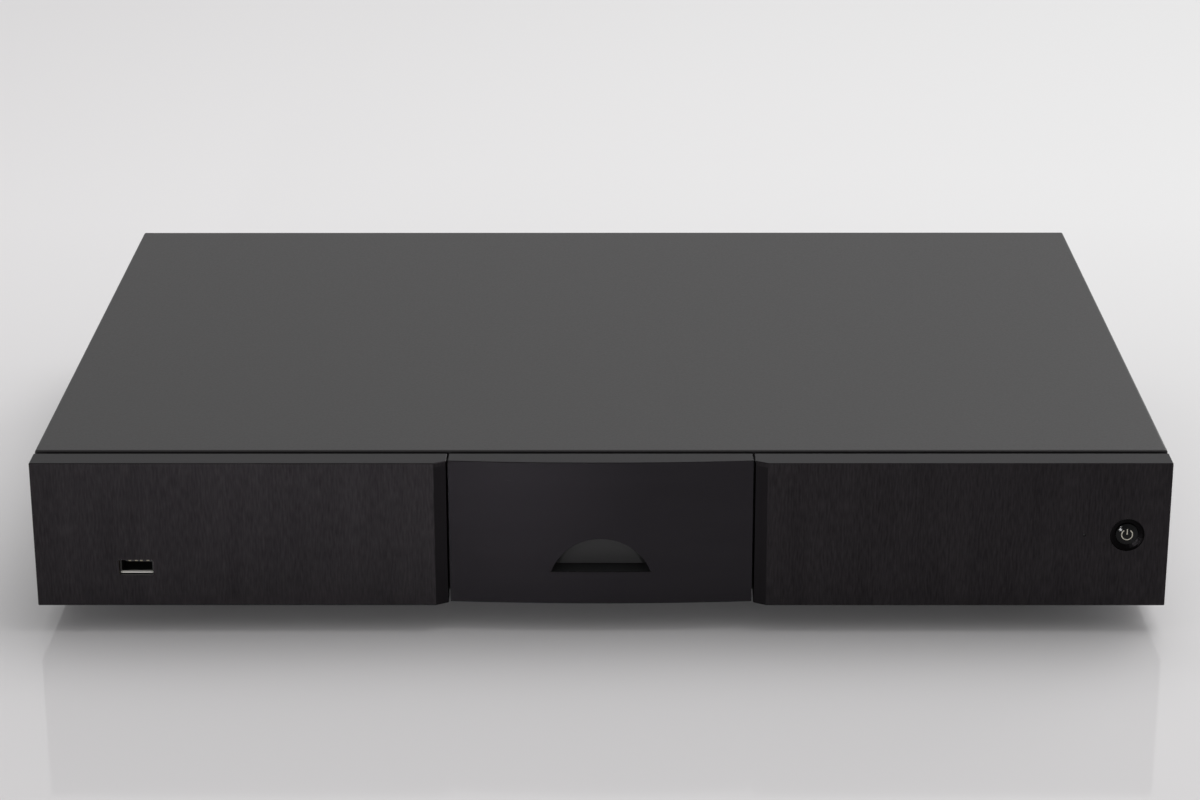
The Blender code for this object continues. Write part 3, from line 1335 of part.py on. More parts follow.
def socket_block(socket, name, width, depth, z):
    """The moulded body behind the panel, standing on the main board."""
    height = 2 * (z - SOCKET_BASE)
    block = prism(f"{name}_block", centred(width, height), depth, black_plastic())
    return fuse(socket, place(block, PLACES[name], REAR_INSIDE - SEAT - depth, z, TO_REAR))


def phono_socket(name):
    """Barrel with a centre hole, a ring outside the panel and a block inside it."""
    tail = -REAR_THICKNESS - SEAT - PHONO_BLOCK_DEPTH / 2
    profile = [
        (0, PHONO_REACH - PHONO_HOLE_DEPTH),
        (PHONO_HOLE, PHONO_REACH - PHONO_HOLE_DEPTH),
        (PHONO_HOLE, PHONO_REACH),
        (PHONO_RADIUS, PHONO_REACH),
        (PHONO_RADIUS, PHONO_RING_THICKNESS),
        (PHONO_RING, PHONO_RING_THICKNESS),
        (PHONO_RING, SEAT),
        (PHONO_RADIUS, SEAT),
        (PHONO_RADIUS, tail),
        (0, tail),
    ]
    socket = turned(name, profile, gold())
    place(socket, PLACES[name], REAR_OUTSIDE, phono_middle(), TO_REAR)
    socket_block(socket, name, PHONO_BLOCK_WIDTH, PHONO_BLOCK_DEPTH, phono_middle())


def bayonet_socket(name):
    """Barrel round a gap and an insulated core, with two lugs for the plug's slots."""
    tail = -REAR_THICKNESS - SEAT - BAYONET_BLOCK_DEPTH / 2
    core = BAYONET_REACH - BAYONET_CORE_SUNK
    profile = [
        (0, core - BAYONET_HOLE_DEPTH),
        (BAYONET_HOLE, core - BAYONET_HOLE_DEPTH),
        (BAYONET_HOLE, core),
        (BAYONET_CORE, core),
        (BAYONET_CORE, BAYONET_REACH - BAYONET_BORE_DEPTH),
        (BAYONET_BORE, BAYONET_REACH - BAYONET_BORE_DEPTH),
        (BAYONET_BORE, BAYONET_REACH),
        (BAYONET_RADIUS, BAYONET_REACH),
        (BAYONET_RADIUS, BAYONET_RING_THICKNESS),
        (BAYONET_RING, BAYONET_RING_THICKNESS),
        (BAYONET_RING, SEAT),
        (BAYONET_RADIUS, SEAT),
        (BAYONET_RADIUS, tail),
        (0, tail),
    ]
    socket = turned(name, profile, nickel())
    place(socket, PLACES[name], REAR_OUTSIDE, bayonet_middle(), TO_REAR)
    for side in (-1, 1):
        lug = prism(f"{name}_lug_{side + 2}", circle(BAYONET_LUG, COARSE), BAYONET_LUG + SEAT, nickel())
        x = PLACES[name] + side * (BAYONET_RADIUS - SEAT)
        y = REAR_OUTSIDE + BAYONET_REACH - BAYONET_LUG_DROP
        fuse(socket, place(lug, x, y, bayonet_middle(), (0, side * math.pi / 2, 0)))
    socket_block(socket, name, BAYONET_BLOCK_WIDTH, BAYONET_BLOCK_DEPTH, bayonet_middle())


def make_din_output():
    """Round face with five contact holes on a half circle, inside a slot for the plug's skirt."""
    tail = -REAR_THICKNESS - SEAT - DIN_BLOCK_DEPTH / 2
    profile = [(0, DIN_PROUD), (DIN_RADIUS, DIN_PROUD), (DIN_RADIUS, tail), (0, tail)]
    socket = turned("din_output", profile, black_plastic(), PLAIN)
    place(socket, PLACES["din_output"], REAR_OUTSIDE, din_middle(), TO_REAR)
    socket_block(socket, "din_output", 2 * DIN_RADIUS + CLEARED, DIN_BLOCK_DEPTH, din_middle())
    section = rectangle(DIN_SLOT_INNER, -DIN_SLOT_DEPTH, DIN_SLOT_OUTER, OVERRUN)
    tool = ring("din_skirt_cutter", section, black_plastic(), PLAIN)
    face = REAR_OUTSIDE + DIN_PROUD
    cut(socket, place(tool, PLACES["din_output"], face, din_middle(), TO_REAR))
    holes = []
    for step in range(5):
        turn = math.pi * step / 4
        across = DIN_HOLE_CIRCLE * math.cos(turn)
        holes.append(circle(DIN_HOLE, COARSE // 2, across, DIN_HOLE_CIRCLE * math.sin(turn)))
    tool = prisms("din_contact_holes", holes, DIN_HOLE_DEPTH + OVERRUN, black_plastic())
    cut(socket, place(tool, PLACES["din_output"], face - DIN_HOLE_DEPTH, din_middle(), TO_REAR))


def antenna_socket(name):
    profile = [
        (0, ANTENNA_REACH - ANTENNA_BORE_DEPTH),
        (ANTENNA_BORE, ANTENNA_REACH - ANTENNA_BORE_DEPTH),
        (ANTENNA_BORE, ANTENNA_REACH),
        (ANTENNA_RADIUS, ANTENNA_REACH),
        (ANTENNA_RADIUS, ANTENNA_RING_THICKNESS),
        (ANTENNA_RING, ANTENNA_RING_THICKNESS),
        (ANTENNA_RING, SEAT),
        (ANTENNA_RADIUS, SEAT),
        (ANTENNA_RADIUS, -ANTENNA_TAIL),
        (0, -ANTENNA_TAIL),
    ]
    place(turned(name, profile, gold()), PLACES[name], REAR_OUTSIDE, antenna_middle(), TO_REAR)


def make_remote_jack():
    tail = -REAR_THICKNESS - SEAT - JACK_BLOCK_DEPTH / 2
    profile = [
        (0, JACK_REACH),
        (JACK_RADIUS, JACK_REACH),
        (JACK_RADIUS, JACK_RING_THICKNESS),
        (JACK_RING, JACK_RING_THICKNESS),
        (JACK_RING, SEAT),
        (JACK_RADIUS, SEAT),
        (JACK_RADIUS, tail),
        (0, tail),
    ]
    socket = turned("remote_jack", profile, nickel())
    place(socket, PLACES["remote_jack"], REAR_OUTSIDE, jack_middle(), TO_REAR)
    socket_block(socket, "remote_jack", JACK_BLOCK_WIDTH, JACK_BLOCK_DEPTH, jack_middle())
    bore = prism("jack_bore", circle(JACK_BORE, COARSE), JACK_BORE_DEPTH + OVERRUN, nickel())
    start = REAR_OUTSIDE + JACK_REACH - JACK_BORE_DEPTH
    cut(socket, place(bore, PLACES["remote_jack"], start, jack_middle(), TO_REAR))


# Square sockets


def usb_rear_middle():
    return SOCKET_BASE + USB_HEIGHT / 2


def network_middle():
    return SOCKET_BASE + NETWORK_HEIGHT / 2


def optical_middle():
    return SOCKET_BASE + OPTICAL_HEIGHT / 2


def make_network_socket():
    """Metal-cased socket whose opening steps in towards the latch slot at the top."""
    x = PLACES["network_socket"]
    mouth = REAR_OUTSIDE + NETWORK_PROUD
    outline = centred(NETWORK_WIDTH, NETWORK_HEIGHT)
    socket = prism("network_socket", outline, NETWORK_LENGTH, nickel(), SEAT)
    place(socket, x, mouth - NETWORK_LENGTH, network_middle(), TO_REAR)
    wide = NETWORK_CAVITY_WIDTH / 2
    latch = NETWORK_LATCH_WIDTH / 2
    low = NETWORK_CAVITY_BASE - NETWORK_HEIGHT / 2
    high = low + NETWORK_CAVITY_HEIGHT
    top = high + NETWORK_LATCH_HEIGHT
    cavity = [(wide, low), (wide, high), (latch, high), (latch, top)]
    cavity += [(-u, v) for u, v in cavity[::-1]]
    tool = prism("network_cavity", cavity, NETWORK_CAVITY_DEPTH + OVERRUN, nickel())
    cut(socket, place(tool, x, mouth - NETWORK_CAVITY_DEPTH, network_middle(), TO_REAR))


def optical_input(name, shutter):
    """A square socket with two chamfered corners, closed by a sprung flap hinged along its top edge."""
    x = PLACES[name]
    middle = optical_middle()
    mouth = REAR_OUTSIDE + OPTICAL_PROUD
    outline = centred(OPTICAL_WIDTH, OPTICAL_HEIGHT)
    socket = prism(name, outline, OPTICAL_LENGTH, black_plastic(), SEAT)
    place(socket, x, mouth - OPTICAL_LENGTH, middle, TO_REAR)
    wide = OPTICAL_CAVITY_WIDTH / 2
    high = OPTICAL_CAVITY_HEIGHT / 2
    bevel = OPTICAL_CHAMFER
    cavity = [(-wide, high), (-wide, bevel - high), (bevel - wide, -high)]
    cavity += [(-u, v) for u, v in cavity[::-1]]
    tool = prism(f"{name}_cavity", cavity, OPTICAL_CAVITY_DEPTH + OVERRUN, black_plastic())
    cut(socket, place(tool, x, mouth - OPTICAL_CAVITY_DEPTH, middle, TO_REAR))
    # The flap hangs from its hinge line: round at the top, and shaped like the opening below
    half = SHUTTER_THICKNESS / 2
    drop = OPTICAL_CAVITY_HEIGHT - 2 * SEAT - half
    reach = wide - SEAT
    outline = [(-reach, half), (-reach, bevel - drop), (bevel - reach, -drop)]
    outline += [(-u, v) for u, v in outline[::-1]]
    flap = prism(shutter, outline, SHUTTER_THICKNESS, black_plastic())
    for vert in flap.data.vertices:
        vert.co.z -= half
        if vert.co.y > 0:
            vert.co.y = half
    hinge = mouth - SHUTTER_SUNK - half
    place(flap, x, hinge, middle + high - SEAT - half, TO_REAR)
    bevel = flap.modifiers.new("round hinge edge", "BEVEL")
    bevel.width = half / 2
    bevel.segments = 1
    bevel.limit_method = "ANGLE"


# Build

for old in list(bpy.data.objects):
    bpy.data.objects.remove(old)

player = bpy.data.objects.new("network_player", None)
bpy.context.scene.collection.objects.link(player)

make_sleeve()
make_tray()
make_subpanel()
make_rear_panel()
make_feet()
make_left_panel()
make_right_panel()
make_centre_panel()
make_badge()
make_front_usb()
make_switch(make_button())
make_switch_board()
make_transformer()
make_power_supply()
make_main_board()
make_streamer()
make_ribbon()
make_leads()
make_inlet()
make_fuse_drawer()
make_rocker_housing()
make_rocker()
make_ground_switch()
for name in ("phono_right", "phono_left", "coax_input"):
    phono_socket(name)
for name in ("bnc_input", "bnc_output"):
    bayonet_socket(name)
make_din_output()
for name in ("antenna_socket_right", "antenna_socket_left"):
    antenna_socket(name)
make_remote_jack()
usb_socket("usb_rear", PLACES["usb_rear"], REAR_OUTSIDE + USB_PROUD, usb_rear_middle(), TO_REAR, 1)
make_network_socket()
optical_input("optical_input_1", "optical_shutter_1")
optical_input("optical_input_2", "optical_shutter_2")
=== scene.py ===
import math

import bmesh
import bpy
import numpy as np
from mathutils import Matrix, Vector


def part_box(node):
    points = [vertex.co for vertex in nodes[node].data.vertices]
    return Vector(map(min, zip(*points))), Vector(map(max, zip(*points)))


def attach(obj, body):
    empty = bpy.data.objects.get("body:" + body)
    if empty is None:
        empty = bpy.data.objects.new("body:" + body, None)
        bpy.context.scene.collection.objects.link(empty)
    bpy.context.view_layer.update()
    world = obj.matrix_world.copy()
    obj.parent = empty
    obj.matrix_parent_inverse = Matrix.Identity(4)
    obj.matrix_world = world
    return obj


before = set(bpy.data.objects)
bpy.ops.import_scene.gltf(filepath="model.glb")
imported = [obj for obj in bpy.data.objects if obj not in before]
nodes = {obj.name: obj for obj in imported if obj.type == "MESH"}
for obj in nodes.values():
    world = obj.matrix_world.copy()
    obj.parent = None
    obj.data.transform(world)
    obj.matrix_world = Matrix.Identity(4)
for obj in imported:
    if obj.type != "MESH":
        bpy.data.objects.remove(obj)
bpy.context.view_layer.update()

mm = 0.001  # every length below is in millimetres unless its note says otherwise
print("player: frame loaded")


# Small helpers

# A Mix node's sockets share their names, so these are their places: two numbers, two colours, the mixed colour
numberA, numberB, colourA, colourB, mixedColour = 2, 3, 6, 7, 2


def linearColour(hexColour):
    # sRGB hex to linear RGBA
    shares = [int(hexColour[at:at + 2], 16) / 255 for at in (0, 2, 4)]
    return tuple(s / 12.92 if s <= 0.04045 else ((s + 0.055) / 1.055) ** 2.4 for s in shares) + (1,)


def addNode(tree, kind, values):
    # A new node. Each value is a property of it, or a number, vector, colour or socket for one of its inputs
    made = tree.nodes.new(kind)
    for key, value in values.items():
        if isinstance(value, bpy.types.NodeSocket):
            tree.links.new(value, made.inputs[key])
        elif isinstance(key, str) and hasattr(made, key):
            setattr(made, key, value)
        else:
            made.inputs[key].default_value = value
    return made


def boxOf(name):
    # Low and high corner of a node
    return [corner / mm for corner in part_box(name)]


def middleOf(name):
    low, high = boxOf(name)
    return (low + high) / 2


def zoneMask(tree, spot, tests):
    # 1 where every test holds. A test is (axis, low, high). The axis is a letter, or a letter and the two other
    # coordinates of a line along it, which stands for the distance from that line.
    axes = addNode(tree, "ShaderNodeSeparateXYZ", {0: spot}).outputs
    mask = None
    for axis, low, high in tests:
        along = "xyz".index(axis[0])
        if len(axis) == 1:
            value = axes[along]
        else:
            place = [at * mm for at in axis[1:]]
            place.insert(along, 0)
            flat = [float(at != along) for at in range(3)]
            seen = addNode(tree, "ShaderNodeVectorMath", {"operation": "MULTIPLY", 0: spot, 1: flat}).outputs[0]
            value = addNode(
                tree, "ShaderNodeVectorMath", {"operation": "DISTANCE", 0: seen, 1: place}
            ).outputs["Value"]
        for limit, operation in ((low, "GREATER_THAN"), (high, "LESS_THAN")):
            if limit is None:
                continue
            passed = addNode(tree, "ShaderNodeMath", {"operation": operation, 0: value, 1: limit * mm}).outputs[0]
            if mask is not None:
                both = {"operation": "MULTIPLY", 0: mask, 1: passed}
                passed = addNode(tree, "ShaderNodeMath", both).outputs[0]
            mask = passed
    return mask


def ribWave(tree, spot, ribs):
    # Sine of the place along an axis over the pitch, or of the angle round an upright line times a count
    if "spokes" in ribs:
        x, y = ribs["middle"]
        moved = {"operation": "SUBTRACT", 0: spot, 1: (x * mm, y * mm, 0)}
        spot = addNode(tree, "ShaderNodeVectorMath", moved).outputs[0]
    axes = addNode(tree, "ShaderNodeSeparateXYZ", {0: spot}).outputs
    if "spokes" in ribs:
        turn = addNode(tree, "ShaderNodeMath", {"operation": "ARCTAN2", 0: axes[1], 1: axes[0]}).outputs[0]
        phase = {"operation": "MULTIPLY", 0: turn, 1: ribs["spokes"]}
    else:
        along = axes["xyz".index(ribs["axis"])]
        phase = {"operation": "MULTIPLY", 0: along, 1: 2 * math.pi / (ribs["pitch"] * mm)}
    phase = addNode(tree, "ShaderNodeMath", phase).outputs[0]
    wave = addNode(tree, "ShaderNodeMath", {"operation": "SINE", 0: phase}).outputs[0]
    if "tests" in ribs:
        inside = {"operation": "MULTIPLY", 0: wave, 1: zoneMask(tree, spot, ribs["tests"])}
        wave = addNode(tree, "ShaderNodeMath", inside).outputs[0]
    return wave


def makeMaterial(look):
    # A Principled material. A slow noise mixes its dark and light colour, a fine one gives roughness and bump.
    # Ribs are added to the height, and each zone puts its own colour, roughness and metallic where its tests hold.
    material = bpy.data.materials.new(look["name"])
    material.use_nodes = True
    tree = material.node_tree
    shader = tree.nodes["Principled BSDF"]
    for key, value in look.get("shader", {}).items():
        shader.inputs[key].default_value = value
    spot = addNode(tree, "ShaderNodeTexCoord", {}).outputs["Object"]
    grown = spot
    if "stretch" in look:
        grown = addNode(tree, "ShaderNodeMapping", {"Scale": look["stretch"], "Vector": spot}).outputs[0]
    drift, grain = (
        addNode(tree, "ShaderNodeTexNoise", {"Vector": grown, "Scale": 1 / (size * mm), "Detail": detail}).outputs[0]
        for size, detail in ((look["driftSize"], 3.0), (look["grainSize"], 2.0))
    )
    share, height = drift, grain
    if "grainShare" in look:
        share = addNode(
            tree, "ShaderNodeMix", {"Factor": look["grainShare"], numberA: drift, numberB: grain}
        ).outputs[0]
    if "ribs" in look:
        wave = ribWave(tree, spot, look["ribs"])
        raised = {"operation": "MULTIPLY_ADD", 0: wave, 1: look["ribs"]["depth"], 2: height}
        height = addNode(tree, "ShaderNodeMath", raised).outputs[0]
        if "shade" in look["ribs"]:
            shaded = {"operation": "MULTIPLY_ADD", 0: wave, 1: look["ribs"]["shade"], 2: share}
            share = addNode(tree, "ShaderNodeMath", shaded).outputs[0]
    colour = addNode(tree, "ShaderNodeMix", {
        "data_type": "RGBA", "Factor": share,
        colourA: linearColour(look["dark"]), colourB: linearColour(look["light"]),
    }).outputs[mixedColour]
    low, high = look["roughness"]
    rough = addNode(tree, "ShaderNodeMapRange", {"Value": grain, "To Min": low, "To Max": high}).outputs[0]
    plain = look.get("metallic", 0.0)
    metal = None
    for zone in look.get("zones", []):
        mask = zoneMask(tree, spot, zone["tests"])
        toned = {"data_type": "RGBA", "Factor": mask, colourA: colour, colourB: linearColour(zone["colour"])}
        colour = addNode(tree, "ShaderNodeMix", toned).outputs[mixedColour]
        rough = addNode(
            tree, "ShaderNodeMix", {"Factor": mask, numberA: rough, numberB: zone["roughness"]}
        ).outputs[0]
        inZone = zone.get("metallic", plain)
        if inZone != plain or metal:
            metal = addNode(
                tree, "ShaderNodeMix", {"Factor": mask, numberA: metal or plain, numberB: inZone}
            ).outputs[0]
    tree.links.new(colour, shader.inputs["Base Color"])
    tree.links.new(rough, shader.inputs["Roughness"])
    if metal:
        tree.links.new(metal, shader.inputs["Metallic"])
    else:
        shader.inputs["Metallic"].default_value = plain
    if look.get("bump"):
        bump = addNode(tree, "ShaderNodeBump", {"Strength": 1.0, "Distance": look["bump"] * mm, "Height": height})
        tree.links.new(bump.outputs[0], shader.inputs["Normal"])
    return material


def dress(names, material):
    for name in names:
        slots = nodes[name].data.materials
        slots.clear()
        slots.append(material)


def finishPiece(name, mesh, material, body="case"):
    # The mesh as a piece that stays at the origin, smooth but for edges sharper than 35 degrees
    mesh.validate()
    mesh.materials.append(material)
    mesh.shade_smooth()
    mesh.set_sharp_from_angle(angle=math.radians(35))
    piece = bpy.data.objects.new(name, mesh)
    bpy.context.scene.collection.objects.link(piece)
    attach(piece, body)


def meshPiece(name, points, faces, material, slot, body="case", closed=True):
    # A piece with its place in its points. A closed one has its doubles merged and its faces turned outwards.
    mesh = bpy.data.meshes.new(name)
    mesh.from_pydata((points * mm).tolist(), [], faces.tolist())
    if closed:
        shape = bmesh.new()
        shape.from_mesh(mesh)
        bmesh.ops.remove_doubles(shape, verts=shape.verts, dist=0.001 * mm)
        bmesh.ops.recalc_face_normals(shape, faces=shape.faces)
        shape.to_mesh(mesh)
        shape.free()
    finishPiece(name, mesh, material, body)


def gridFaces(rows, columns, closed=True):
    # Quads between each point of a grid, the next one and the two in the next row, wrapped when it is closed
    row, column = np.meshgrid(np.arange(rows - 1), np.arange(columns if closed else columns - 1), indexing="ij")
    beside = (column + 1) % columns
    here, above = row * columns, (row + 1) * columns
    return np.stack([here + column, here + beside, above + beside, above + column], axis=-1).reshape(-1, 4)


def turned(radii, heights, columns):
    # A profile spun round Z: x is radius times cosine, y is radius times sine, z is height
    turn = np.linspace(0, 2 * math.pi, columns, endpoint=False)
    radii = np.broadcast_to(np.asarray(radii, float).reshape(len(radii), -1), (len(radii), columns))
    heights = np.broadcast_to(np.asarray(heights, float).reshape(len(radii), -1), (len(radii), columns))
    points = np.stack([radii * np.cos(turn), radii * np.sin(turn), heights], axis=-1).reshape(-1, 3)
    return points, gridFaces(len(radii), columns)


def bentStrip(path, across, thickness):
    # A rectangle carried along a path: each corner is half its width across from the path and half its
    # thickness off, at right angles to the path and the width. Both ends are closed.
    path, across = np.asarray(path, float), np.asarray(across, float)
    along = np.gradient(path, axis=0)
    along /= np.linalg.norm(along, axis=1, keepdims=True)
    off = np.cross(along, across / np.linalg.norm(across)) * thickness / 2
    corners = [path + across / 2 + off, path + across / 2 - off, path - across / 2 - off, path - across / 2 + off]
    points = np.stack(corners, axis=1).reshape(-1, 3)
    last = 4 * (len(path) - 1)
    ends = np.array([[3, 2, 1, 0], [last, last + 1, last + 2, last + 3]])
    return points, np.concatenate([gridFaces(len(path), 4), ends])


def repeated(points, faces, places):
    # Each place is added to all the points, and the faces go up by the number of points each time
    places = np.asarray(places, float)
    everywhere = (points[None] + places[:, None]).reshape(-1, 3)
    shifts = np.arange(len(places)) * len(points)
    return everywhere, (faces[None] + shifts[:, None, None]).reshape(-1, faces.shape[1])


def joined(parts):
    # The points of all parts in a row, where a part's faces go up by the number of points before it
    before = np.cumsum([0] + [len(points) for points, faces in parts])
    faces = [faces + start for (points, faces), start in zip(parts, before)]
    return np.concatenate([points for points, faces in parts]), np.concatenate(faces)


# Metals, paints and plastics of the case

fasciaLow, fasciaHigh = boxOf("fascia_left")
front = fasciaLow.y
behindFront = ("y", front + 0.1, None)
panelBack = boxOf("rear_panel")[1].y
button = middleOf("power_button")
socketLow, socketHigh = boxOf("usb_front_shell")
coil, fuse, inlet, rocker = (middleOf(name) for name in ("transformer_coil", "fuse", "mains_inlet", "mains_rocker"))
network = middleOf("network_socket")
networkLow, networkHigh = boxOf("network_socket")
boardTop = boxOf("power_board")[1].z
streamerLow, streamerHigh = boxOf("streamer_board")

dishRadius = 6.65  # of the polished dish round the button
chamferEnd = 63.2  # from the middle to where the chamfers meet the flat of the fascia
recessHalf, recessFloor = 19.3, (24.7, 25.05)  # the half-moon recess: half its width, heights round its floor
archHeight, archRadius, archReach = 18.44, 17.3, 60  # circle inside the painted shade at the lens's edge, which the light pipe is past
capEnd = 12.5  # radius of the bare end of a reservoir capacitor
shadedTopEdge = {"tests": [("z", fasciaHigh.z - 0.05, None)], "colour": "1A181B"}  # painted shade: the fascia's top edge drawn darker, to take down its reflection
inkZone = {"colour": "D9D9D6", "roughness": 0.4}  # pad printing
bareMetal = {"colour": "C9C7C2", "metallic": 1.0}
nickelTones = {"dark": "BDBBB6", "light": "C9C7C2", "driftSize": 2.0, "grainSize": 0.5, "metallic": 1.0}
mouldedBlack = {
    "dark": "161617", "light": "1C1C1D", "driftSize": 2.0, "grainSize": 0.35, "roughness": (0.36, 0.48),
    "bump": 0.008,
}
boardLacquer = {"dark": "12331F", "light": "1C4A2C", "roughness": (0.28, 0.4), "bump": 0.006}

